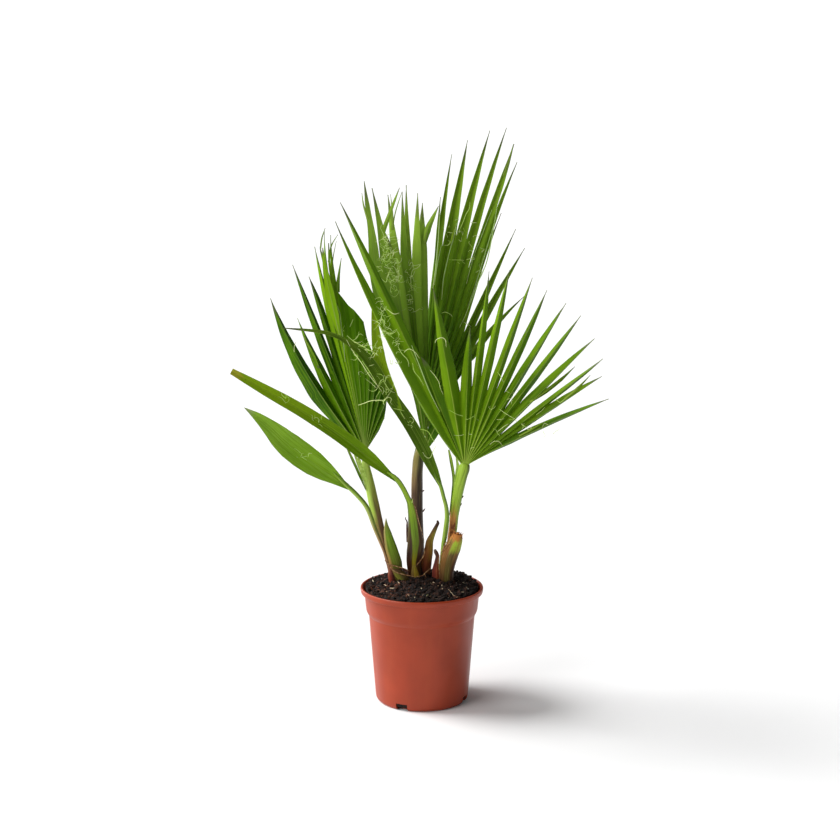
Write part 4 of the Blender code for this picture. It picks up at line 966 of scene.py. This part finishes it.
# Stalks and clasping bases: rows of x, y, z and radius, depth over width, and colours up each side
stalks = {
    "leftStalk": {
        "rows": [(-35, 10, 136, 5), (-37, 11, 158, 4.6), (-44.5, 11, 188, 4.8), (-51.7, 11.7, 213, 5.5),
                 (-57.8, 13.4, 238, 6.4), (-63, 15.6, 263, 6), (-65.8, 16.9, 276, 5.5),
                 (-68.2, 18.2, 288, 4.7), (-69.7, 19.6, 301, 3.2), (-71, 19.6, 312, 1)],
        "flat": 0.75,
        "look": {"left": [(0.0, "#5A2A1C"), (0.3, "#8A6040"), (0.46, "#8A7A3A"), (0.58, "#A9C84A"),
                          (1.0, "#C6DE74")],
                 "right": [(0.0, "#4A1C14"), (0.35, "#6A4238"), (0.52, "#755A38"), (0.68, "#858A34"),
                           (0.85, "#A0B84A"), (1.0, "#B4CE5A")],
                 "from": -0.45, "to": 0.35},
    },
    "centreStalk": {
        "rows": [(-7, 21.6, 140, 10), (-7.2, 20, 172, 10.2), (-7.2, 20, 192, 9.6), (-6.7, 20, 220, 8),
                 (-6.2, 20, 238, 7.1), (-6.2, 19.6, 262, 6.9), (-6, 18.8, 275, 6.6), (-5, 18, 288, 6.5),
                 (-3.5, 16, 301, 6), (0, 14, 313, 4.3), (3.7, 13.2, 323, 1.7)],
        "flat": 0.85,
        "look": {"left": [(0.0, "#2E1712"), (0.35, "#543A2C"), (0.62, "#543E2C"), (0.7, "#7A6040"),
                          (0.82, "#8A7A44"), (1.0, "#8A8A3C")],
                 "right": [(0.0, "#2E1712"), (0.4, "#3A2618"), (0.75, "#332114"), (1.0, "#3F4A1A")],
                 "from": -0.25, "to": 0.25},
    },
    "backStalk": {
        "rows": [(-5, 31, 144, 8), (-6, 36, 215, 7.2), (-6, 36, 255, 7), (-5, 36, 290, 6.4),
                 (-1, 34, 316, 4.5), (0.5, 32, 338, 1.2)],
        "flat": 0.85,
        "look": {"left": [(0.0, "#2E1712"), (0.5, "#4A3A34"), (1.0, "#5A6A24")],
                 "right": [(0.0, "#2E1712"), (0.6, "#3A2A26"), (1.0, "#42561C")]},
    },
    "rightStalk": {
        "rows": [(31, 7, 140, 7), (34.3, 8.8, 172, 5.5), (36, 6.9, 198, 5.2), (38, 4, 215, 5.1),
                 (39, 0, 229, 5.3), (40.7, -4.7, 243, 5.8), (42.6, -9.5, 256, 6), (45.2, -13.2, 270, 6.3),
                 (48.2, -15.6, 283, 6.3), (50.3, -15.6, 291, 6.8), (51.2, -15, 295.6, 6.2),
                 (51.7, -14.4, 298.6, 4.4), (51.9, -14, 300.6, 1)],
        "flat": 0.75,
        "look": {"left": [(0.0, "#5A2A18"), (0.35, "#A8683A"), (0.56, "#C08440"), (0.64, "#98A42A"),
                          (0.7, "#8FB02A"), (1.0, "#A2C63C")],
                 "right": [(0.0, "#4A1C14"), (0.35, "#6A3A20"), (0.45, "#7F9A2A"), (0.8, "#7FA22A"),
                           (0.96, "#566A1E")], "from": 0.2, "to": 0.8},
    },
    "lanceStalk": {
        "rows": [(-37, 3, 152, 2), (-37.7, 3.2, 161, 1.8), (-46, -0.3, 186, 1.9), (-56.5, -3.6, 214, 2.5),
                 (-66, -7.2, 241, 2.8), (-77.7, -8.9, 257, 2.7), (-90.5, -10.2, 270, 2.7),
                 (-98.3, -10.7, 278, 2.2), (-106.6, -11, 286, 0.8)],
        "flat": 1.0,
        "look": {"left": [(0.0, "#7A4A30"), (0.3, "#B08A62"), (0.5, "#A9A860"), (0.7, "#9AB848"),
                          (1.0, "#8FB03A")],
                 "right": [(0.0, "#5A2418"), (0.3, "#7A5A30"), (0.5, "#6F8A2A"), (1.0, "#6F9A2A")]},
    },
    "strapStalk": {
        "rows": [(-8.5, 14, 144, 7), (-10, 8.1, 169, 8.9), (-8.9, 5.4, 183, 10), (-8.1, 3.3, 196, 9.6),
                 (-9.1, 1.5, 209, 8.1), (-10.3, -0.2, 222, 6.5), (-12, -4.8, 236, 5.1), (-14.5, -9, 248, 3.8),
                 (-16.8, -11.6, 254, 3.2), (-22.3, -17.3, 267, 3), (-28.3, -24, 278, 3),
                 (-34.4, -26.9, 285, 2.4), (-41.5, -29, 290, 1)],
        "flat": 0.72,
        "look": {"left": [(0.0, "#5A2A14"), (0.25, "#2E180C"), (0.45, "#4A3614"), (0.62, "#5F7A22"),
                          (1.0, "#5F8A22")],
                 "right": [(0.0, "#6A4A18"), (0.2, "#33180C"), (0.5, "#5A3A1C"), (0.6, "#8A6A34"),
                           (0.7, "#5F7A22"), (1.0, "#4F7A1E")],
                 "middle": [(0.0, "#A8901E"), (0.18, "#94841A"), (0.3, "#667A10"), (0.45, "#64840C"),
                            (0.7, "#8CB020"), (1.0, "#86AC20")],
                 "stripe": (0.14, 0.62), "stripeAt": 0.05},
    },
    "bentStalk": {
        "rows": [(22, -1, 150, 2.2), (22.6, -2.7, 163, 1.8), (25.4, -5.9, 192, 2.4), (27.5, -7.4, 205, 2.9),
                 (29.2, -8.5, 218, 3.1), (30.3, -9.2, 231, 2.8), (29, -9.9, 244, 2.4), (26, -11.7, 256, 2.3),
                 (22.3, -14, 270, 2.3), (16.9, -15.9, 280, 1.9), (12, -17, 290, 0.8)],
        "flat": 1.0,
        "look": {"left": [(0.0, "#7A4A24"), (0.25, "#8FAA3A"), (1.0, "#8FB03A")],
                 "right": [(0.0, "#6A3A1C"), (0.3, "#6F9420"), (1.0, "#5F8A22")]},
    },
}

stubs = {
    "leftStub": {  # the pointed stub of an old leaf
        "rows": [(-28, 3, 140, 6), (-30.4, 1.6, 156, 6.7), (-32.2, 0.1, 171, 7.7), (-37.8, -1.4, 191, 7.1),
                 (-41.9, -2.4, 210, 4.5), (-43.2, -2.7, 220, 2), (-43.4, -3, 227.5, 0.3)], "flat": 0.6,
        "look": {"left": [(0.0, "#4A1C14"), (0.3, "#9A6A3A"), (0.6, "#A08A44"), (1.0, "#A8A060")],
                 "right": [(0.0, "#4A3A14"), (0.3, "#5A5A12"), (0.5, "#647C0C"), (0.75, "#6F940E"),
                           (1.0, "#7A7A3A")], "from": -0.8, "to": -0.35},
    },
    "leftBulb": {  # the olive foot under its wrapping fibres
        "rows": [(-14, 0, 142, 4), (-18.1, -1.6, 146, 4.8), (-22.8, -2, 152.4, 6.3), (-28.8, -1.6, 159, 5.6),
                 (-35.1, -1, 165, 2.6)], "flat": 0.8,
        "look": {"left": [(0.0, "#3A1C10"), (0.3, "#6A6A1C"), (0.7, "#7A7A22"), (1.0, "#5A3A1C")],
                 "right": [(0.0, "#2E1A10"), (0.5, "#4A3A14"), (1.0, "#4A2A18")]},
    },
    "leftFoot": {
        "rows": [(-33, 4, 134, 6), (-34.7, 2.3, 146, 5.4), (-36.5, 2, 156, 5.1), (-37.7, 2, 166, 3)],
        "flat": 0.9,
        "look": {"left": [(0.0, "#6A2016"), (0.6, "#8A3420"), (1.0, "#7A4A30")],
                 "right": [(0.0, "#3A120C"), (1.0, "#4A1C14")], "to": 0.3},
    },
    "driedSheath": {  # the dry sheath at the right of the dark stem
        "rows": [(2, 18, 140, 7.5), (5.3, 13.8, 168, 6.6), (7.8, 12.3, 181, 5.5), (9.3, 11.3, 194, 4.5),
                 (12.2, 10.8, 202, 3.3), (17.3, 10.4, 213.6, 2.2), (19.6, 10.2, 218.3, 1.9),
                 (18.6, 10, 221.4, 1)], "flat": 0.55,
        "look": {"left": [(0.0, "#2E0F0A"), (0.3, "#7A3414"), (0.55, "#A8602A"), (0.75, "#8A6A24"),
                          (0.93, "#4A2A1C"), (1.0, "#3A2420")],
                 "right": [(0.0, "#2A100A"), (0.35, "#6A3410"), (0.55, "#9A7420"), (0.8, "#A29C34"),
                           (0.93, "#4A3024"), (1.0, "#3A2420")]},
    },
    "centreFoot": {
        "rows": [(-5, 23, 134, 14), (-5, 21, 150, 13), (-5, 21, 162, 11)], "flat": 0.9,
        "look": {"left": [(0.0, "#3A1410"), (1.0, "#3A1A14")], "right": [(0.0, "#2E120C"), (1.0, "#2E1712")]},
    },
    "goldFoot": {  # yellow foot of the strap leaf's sheath
        "rows": [(-8, 8, 142, 6.5), (-8, 5, 150, 5.6), (-9, 4, 158, 4.4), (-9.5, 3, 168, 2)], "flat": 0.8,
        "look": {"left": [(0.0, "#3A220C"), (0.5, "#6A4A14"), (1.0, "#7A6A1A")],
                 "right": [(0.0, "#4A300C"), (0.4, "#AA8C1E"), (1.0, "#8A7E1A")], "from": -0.5, "to": 0.1},
    },
    "cutStub": {  # a leaf base cut across with shears
        "rows": [(27, -1, 138, 9), (28.8, -2.1, 147, 8.2), (29.9, -5.5, 163, 8.5), (32.8, -8.2, 180, 10),
                 (37.6, -10.2, 193, 9.4), (41.2, -11.8, 203, 7.8), (43.2, -12.3, 210, 5.6)], "flat": 0.8,
        "look": {"left": [(0.0, "#3A1A10"), (0.3, "#5A3C18"), (0.55, "#7A5422"), (0.75, "#8A5826"),
                          (0.9, "#9A7A34"), (0.94, "#C07A34")],
                 "right": [(0.0, "#2A100C"), (0.5, "#43220F"), (0.72, "#6A4A20"), (0.8, "#9AAE2C"),
                           (0.9, "#A2B830"), (1.0, "#8A5A2A")],
                 "middle": [(0.0, "#4A3A14"), (0.3, "#5F5420"), (0.68, "#6A5428"), (0.78, "#9AB02E"),
                            (0.9, "#A6C034"), (0.94, "#C07A34")],
                 "stripe": (0.3, 0.3), "stripeAt": 0.1, "from": 0.35, "to": 0.85, "dark": "#3A1A12"},
    },
    "redStub": {
        "rows": [(18, 0, 138, 6), (17.7, -0.5, 147, 5.1), (17, -2, 162, 4.6), (18, -2.7, 172, 3.1),
                 (18.8, -3.3, 180, 2.3), (16.8, -3.8, 185.6, 2.4), (15.6, -4, 188.8, 1.2)], "flat": 0.7,
        "look": {"left": [(0.0, "#4A140C"), (0.5, "#6A2416"), (0.85, "#4A2A24"), (1.0, "#5A4444")],
                 "right": [(0.0, "#6A2012"), (0.5, "#A04A2A"), (0.8, "#6A2E20"), (1.0, "#4A2A24")]},
    },
    "rightFoot": {
        "rows": [(28, 2, 134, 13), (28.5, 1, 146, 10), (30, 1, 158, 9)], "flat": 0.9,
        "look": {"left": [(0.0, "#4A1C10"), (1.0, "#5A2A16")], "right": [(0.0, "#2A100C"), (1.0, "#3A1A14")]},
    },
}

crownOf = {"leftFoot": "crown_left", "centreFoot": "crown_centre", "rightFoot": "crown_right"}

skinLook = {"from": -0.6, "to": 0.6, "light": "#B9B070"}
stalkKinds = (  # the rows, rings, flutes and their depth, and the look that they share
    (stalks, 70, 7, 0.02, {"dark": "#3A2A14", "roughness": 0.42, "depth": 0.5}),
    (stubs, 50, 9, 0.035, {"dark": "#2A1510", "roughness": 0.6, "depth": 0.9}),
)


def buildStalks():
    for kind, rings, flutes, fluteDepth, common in stalkKinds:
        for name, stalk in kind.items():
            shape = stalkShape(stalk["rows"], rings, 28, flat=stalk["flat"], flutes=flutes, fluteDepth=fluteDepth)
            skin = stalkMaterial(name + "Skin", skinLook | common | stalk["look"])
            addPiece(name, shape, skin, [crownOf[name]] if name in crownOf else [], smooth=60)
    print("stalks and clasping bases")


buildStalks()


# Torn margins, wrapping fibres and thorns at the crowns: radius, then a row as for the threads
wraps = {
    "tanFibres": (
        (0.7, -7, -6, -45, 176, -40, 171, -30, 168, -20, 165, -15, 162),
        (0.7, -9, -8, -40, 171, -36, 165, -30, 161, -20, 158, -10, 156),
        (0.6, 4, -3, 3, 188, 3, 182, 0, 176, -5, 170, -8, 167),
        (0.45, -9, 3, -11, 250, -7, 239, -5, 229, -2, 217, 2, 203, 3, 195),
        (0.4, -5, 3, -17, 236, -15, 223, -16, 210, -18, 196),
        (0.45, 2, -7, 11, 164, 7, 161, 3, 158, 0, 156, -10, 155),
        (0.4, -3, -3, 3, 158, 5, 154), (0.6, -13, -9, 32, 202, 28, 198, 26, 192, 23, 186, 22, 180),
        (0.4, -18, -11, 35, 202, 29, 194, 24, 185), (0.5, -7, -7, 21, 182, 20, 173, 21, 163, 21, 155),
    ),
    "thornsAndScars": (
        (1.2, 7, 4, -18, 195, -18, 210, -18, 217, -18, 221, -20, 225, -20, 227), (0.9, 16, 16, 0, 256, 3, 258),
        (0.9, 16, 16, 1, 231, 4, 235), (0.8, -10, -10, 48, 254, 50, 257), (0.8, -6, -6, 46, 243, 48, 247),
        (1.1, -2, -2, -32, 167, -25, 164, -17, 161),
    ),
}
# thin skins beside the stalks: widths, then a row
skins = {
    "paleSkins": (
        ((1.5, 4.2, 3.6, 1), 13, 12, -83, 307, -76, 289, -70, 271, -67, 258),
        ((1.5, 3, 2.6, 1), 13, 12, -79, 305, -73, 289, -67, 273),
        ((1.5, 5, 5.5, 2), -15, -12, 41, 306, 43, 292, 41, 275, 39, 257),
        ((1.6, 1, 0.3), -13, -12, -12, 249, -11, 254),
    ),
    "drySkins": (((1.5, 5, 5.5, 3), -3, 1, 40, 241, 38, 230, 37, 215, 35, 201),),
}
wrapColours = {
    "tanFibres": ("#C09A6A", "#7A4A2A"), "thornsAndScars": ("#5A2A1C", "#2E1410"),
    "paleSkins": ("#B6CE64", "#8FAE3C"), "drySkins": ("#C88A44", "#8A4A20"),
}
# the torn fibres that stand on the cut: its middle and radius in mm, how many, their lengths
cutFibres = {"at": (43, -12.3, 208.5), "reach": 5.2, "count": 60, "lengths": (2, 5.5), "radius": 0.75}


def tornShape(s):  # over a tilted ellipse, longer on its low side
    turn = rng.uniform(0, 2 * math.pi, s["count"])
    away = s["reach"] * np.sqrt(rng.uniform(0, 1, s["count"]))
    x, y, z = s["at"]
    out, back = away * np.cos(turn), away * np.sin(turn)
    starts = np.column_stack([x + out, y + 0.8 * back, z - 0.25 * out])
    headings = rng.normal(0.15, 0.35, s["count"])
    lengths = rng.uniform(*s["lengths"], s["count"]) + np.maximum(0, -0.5 * out)
    curls = rng.normal(0, 0.6, s["count"])
    return threadShape(starts, headings, lengths, curls, s["radius"], depth=0.6, steps=6)


def buildWraps():
    for name, rows in wraps.items():
        tubes = [ringShape(smoothPath(rowPoints(row), 24), radius * along((0.7, 1, 0.9, 0.35), 24), 6)
                 for radius, *row in rows]
        dry = plainMaterial(name + "Dry", *wrapColours[name], 3.0, 0.75)
        addPiece(name, joined(tubes), dry, smooth=70)
    for name, rows in skins.items():
        sheets = strapShapes([(widths, 0.5, row) for widths, *row in rows],
                             facing=(0, -1, 0.1), rows=24, columns=6, thickness=0.3)
        thin = plainMaterial(name + "Thin", *wrapColours[name], 4.0, 0.6)
        addPiece(name, joined(sheets), thin, smooth=70)
    torn = plainMaterial("tornLeafBaseFibre", "#D08A44", "#7A3A18", 2.5, 0.8)
    addPiece("cutFibres", tornShape(cutFibres), torn, smooth=50)
    print("fibres, thorns and thin skins at the crowns")


buildWraps()


# Threads: the pale fibres that the fingers shed. A row is y at its start, y at its end, then x and
# z of each point.
threadRows = (
    (-43, -43, -59, 533, -51, 526, -42, 518, -40, 525, -36, 534), (-24, -24, -49, 572, -42, 571),
    (-23, -22, -45, 549, -44, 542, -42, 537),
    (-21, -19, -37, 542, -30, 543, -29, 539, -36, 534, -37, 532, -31, 531, -29, 529),
    (-22, -21, -40, 539, -36, 533, -32, 536, -37, 526),
    (5, 5, -13, 532, -6, 533, -2, 534, -5, 530, -11, 527, -13, 519, -13, 510, -12, 503),
    (-10, -8, -26, 506, -26, 491, -25, 482), (-16, -8, -29, 481, -23, 481), (54, 57, 33, 535, 51, 534),
    (55, 59, 54, 535, 62, 537, 64, 538), (48, 46, 23, 470, 28, 472, 35, 469, 37, 466),
    (53, 60, 51, 459, 60, 453), (56, 56, 31, 568, 37, 567), (53, 52, 27, 552, 32, 553, 34, 557, 31, 558),
    (59, 57, 58, 604, 57, 596, 53, 589, 50, 581, 47, 574, 42, 564), (63, 62, 59, 579, 66, 579),
    (13, 17, -153, 428, -153, 434, -151, 440), (29, 35, -112, 476, -106, 476, -103, 474),
    (37, 36, -87, 455, -83, 465), (-25, -25, -88, 453, -81, 447, -76, 444, -69, 440, -62, 436, -55, 433),
    (-39, -39, -88, 450, -81, 437, -71, 423, -63, 410, -53, 397, -47, 389),
    (-37, -37, -70, 425, -62, 413, -56, 403, -53, 397),
    (-36, -36, -75, 372, -69, 374, -61, 377, -53, 378, -45, 378, -43, 380, -39, 382),
    (-32, -30, -45, 406, -45, 400, -41, 393, -37, 388, -32, 386), (-34, -31, -53, 409, -48, 408, -45, 405),
    (-32, -37, -45, 403, -49, 400, -51, 395),
    (-33, -33, -45, 372, -45, 376, -40, 381, -36, 379, -37, 375, -35, 372),
    (-32, -29, -36, 368, -28, 366, -21, 364), (-30, -29, -26, 364, -23, 359, -20, 354),
    (-38, -34, -62, 419, -56, 420), (-42, -42, -2, 417, 4, 418, 11, 413, 19, 402, 22, 392, 25, 386),
    (-64, -64, 15, 450, 17, 454, 23, 456, 27, 453, 28, 445), (-56, -59, 90, 371, 99, 365, 111, 358),
    (-53, -55, 116, 353, 123, 348), (-37, -41, 80, 325, 85, 329, 91, 329, 95, 324),
    (-23, -23, -2, 341, 7, 338, 13, 328, 16, 325), (-24, -18, 1, 313, 5, 307, 10, 306, 13, 313, 17, 320),
    (-71, -68, 87, 417, 91, 411, 94, 405), (32, 36, -80, 442, -75, 447, -71, 445),
    (32, 35, -84, 439, -78, 443, -76, 450), (-24, -24, -68, 437, -60, 435, -54, 436),
    (-24, -24, -60, 433, -55, 442, -52, 447), (-51, -51, -21, 437, -15, 441, -8, 437, -3, 430),
    (-48, -43, -11, 424, -9, 414, -3, 406, 2, 397), (-49, -49, -28, 444, -24, 436, -17, 428, -15, 420),
    (-19, -15, -36, 494, -30, 488, -33, 480, -27, 473), (-59, -59, -41, 489, -33, 483, -26, 484),
    (-54, -54, -45, 464, -37, 459, -30, 462), (-35, -36, -51, 492, -46, 486, -49, 479),
    (-56, -60, 133, 364, 139, 369, 143, 374), (-66, -69, 155, 385, 160, 381, 166, 386),
    (-44, -53, 88, 341, 95, 348, 101, 353),
)
# pale edges of the folds, as rows too
paleMargins = (
    (36, 28, -110, 504, -107, 497, -104, 486, -99, 473, -97, 456, -94, 431, -93, 414),
    (54, 46, 22, 601, 20, 564, 18, 541, 16, 521, 13, 501),
    (68, 50, 91, 597, 80, 536, 67, 504, 54, 470, 46, 453), (54, 47, 25, 559, 19, 532, 15, 505),
    (58.5, 49, 42, 579, 39, 564, 33, 543, 29, 526, 26, 511, 24, 487),
    (71.5, 57.5, 85, 594, 78, 577, 71, 559, 64, 542, 59, 525, 54, 505),
    (70.5, 59.5, 90, 585, 80, 552, 72, 525, 63, 497, 56, 478),
    (-49.6, -35.8, -12, 445, -2, 418, 9, 389, 21, 364),
)
# loose tangles: middle, half size, how many, shortest and longest, curl
tangles = (
    ((-40, -39, 547), (7, 1.5, 24), 44, (5, 20), 1.6),
    ((-31, -37, 522), (7, 1.5, 20), 34, (5, 18), 1.6),
    ((-13, 0, 506), (5, 1.5, 30), 28, (6, 20), 1.4),
    ((-44, -50, 475), (5, 1.5, 22), 36, (5, 17), 1.8),
    ((-30, -46, 445), (6, 1.5, 24), 20, (5, 16), 1.8),
    ((-64, -35, 436), (18, 3, 9), 22, (5, 16), 2.2),
    ((-45, -34, 390), (10, 3, 16), 16, (5, 20), 2.2),
    ((-14, -26, 348), (6, 3, 8), 6, (5, 14), 1.6),
    ((50, 54, 540), (30, 4, 26), 12, (5, 18), 1.2),
    ((-86, 30, 420), (22, 4, 34), 8, (5, 14), 1.0),
    ((120, -60, 365), (40, 8, 26), 14, (5, 18), 1.2),
    ((70, -42, 340), (26, 6, 24), 10, (6, 22), 1.2),
    ((-163, -55, 382), (7, 0.8, 4), 5, (5, 12), 1.4),
    ((-122, -49, 354), (6, 0.8, 4), 7, (5, 12), 1.4),
    ((-143, -16, 306), (7, 0.8, 5), 7, (5, 12), 1.4),
    ((41, 57, 573), (10, 1.0, 14), 7, (5, 14), 1.2),
)

threadRadii = {"thread": (0.25, 0.44, 0.4, 0.2), "margin": (0.3, 0.62, 0.62, 0.25), "tangle": 0.27}


def buildThreads():
    shapes = []
    for row in threadRows:
        line = smoothPath(rowPoints(row), 6 * (len(row) // 2))
        shapes.append(ringShape(line, along(threadRadii["thread"], len(line)), 4, tone=rng.uniform(0, 1)))
    for middle, size, count, lengths, curl in tangles:
        starts = np.array(middle) + rng.uniform(-1, 1, (count, 3)) * np.array(size)
        headings, long = rng.normal(0, 1.2, count), rng.uniform(*lengths, count)
        shapes.append(threadShape(starts, headings, long, rng.normal(0, curl, count), threadRadii["tangle"]))
    fibre = threadMaterial("dryLeafFibre", "#D4F078", "#F6FCC8")
    addPiece("leafThreads", joined(shapes), fibre, smooth=80)
    radii = along(threadRadii["margin"], 30)
    edges = [ringShape(smoothPath(rowPoints(row), 30), radii, 6) for row in paleMargins]
    pale = threadMaterial("paleBladeMargin", "#C2E678", "#EAF8C4")
    addPiece("paleMargins", joined(edges), pale, smooth=80)
    print("threads and pale margins")


buildThreads()


# Stage, light and camera
stageSizes = {
    "floor": 60.0, "distance": 2.1, "height": 0.735, "lookDown": 10.45, "lens": 76.33, "shift": -0.0023,
    "sensor": 36, "sky": 0.17, "backdrop": 1.1, "paper": "#F6F6F6", "lampsAway": 3,
    # azimuth (180 is the left, 270 the front), elevation, size and power
    "lights": {"key": (166, 46, 32, 1.08), "fill": (216, 24, 40, 0.46), "rim": (134, 14, 30, 0.34)},
}


def buildStage(s):
    mesh = bpy.data.meshes.new("floor")
    h = s["floor"] / 2
    mesh.from_pydata([(-h, -h, 0), (h, -h, 0), (h, h, 0), (-h, h, 0)], [], [(0, 1, 2, 3)])
    floor = bpy.data.objects.new("floor", mesh)
    bpy.context.scene.collection.objects.link(floor)
    # matt white paper, so that only the soft shadow shows on it
    paper, tree, shader = newMaterial("whiteBackgroundPaper", 0.9, specular=0.1)
    feed(tree, shader, {"Base Color": linear(s["paper"])})
    mesh.materials.append(paper)

    world = bpy.data.worlds.new("studio")
    world.use_nodes = True
    tree = world.node_tree
    sky = tree.nodes["Background"]
    feed(tree, sky, {"Color": linear("#FFFFFF"), "Strength": s["sky"]})
    seen = addNode(tree, "ShaderNodeBackground", {}, {"Color": linear("#FFFFFF"), "Strength": s["backdrop"]})
    path = addNode(tree, "ShaderNodeLightPath")
    both = addNode(tree, "ShaderNodeMixShader", {},
                   {0: path.outputs["Is Camera Ray"], 1: sky.outputs[0], 2: seen.outputs[0]})
    feed(tree, tree.nodes["World Output"], {"Surface": both.outputs[0]})
    bpy.context.scene.world = world

    for name, (azimuth, elevation, size, power) in s["lights"].items():  # big softboxes far off
        light = bpy.data.lights.new(name, "SUN")
        light.energy = power * math.pi
        light.angle = math.radians(size)
        lamp = bpy.data.objects.new(name, light)
        az, el = math.radians(azimuth), math.radians(elevation)
        towards = (math.cos(el) * math.cos(az), math.cos(el) * math.sin(az), math.sin(el))
        lamp.location = [s["lampsAway"] * t for t in towards]
        lamp.rotation_euler = lamp.location.to_track_quat("Z", "Y").to_euler()
        bpy.context.scene.collection.objects.link(lamp)

    camera = bpy.data.objects.new("camera", bpy.data.cameras.new("camera"))
    camera.data.lens = s["lens"]
    camera.data.sensor_width = s["sensor"]
    camera.location = (s["shift"], -s["distance"], s["height"])
    camera.rotation_euler = (math.radians(90 - s["lookDown"]), 0, 0)
    bpy.context.scene.collection.objects.link(camera)
    bpy.context.scene.camera = camera
    bpy.context.scene.view_settings.view_transform = "Standard"
    print("stage, light and camera")


buildStage(stageSizes)
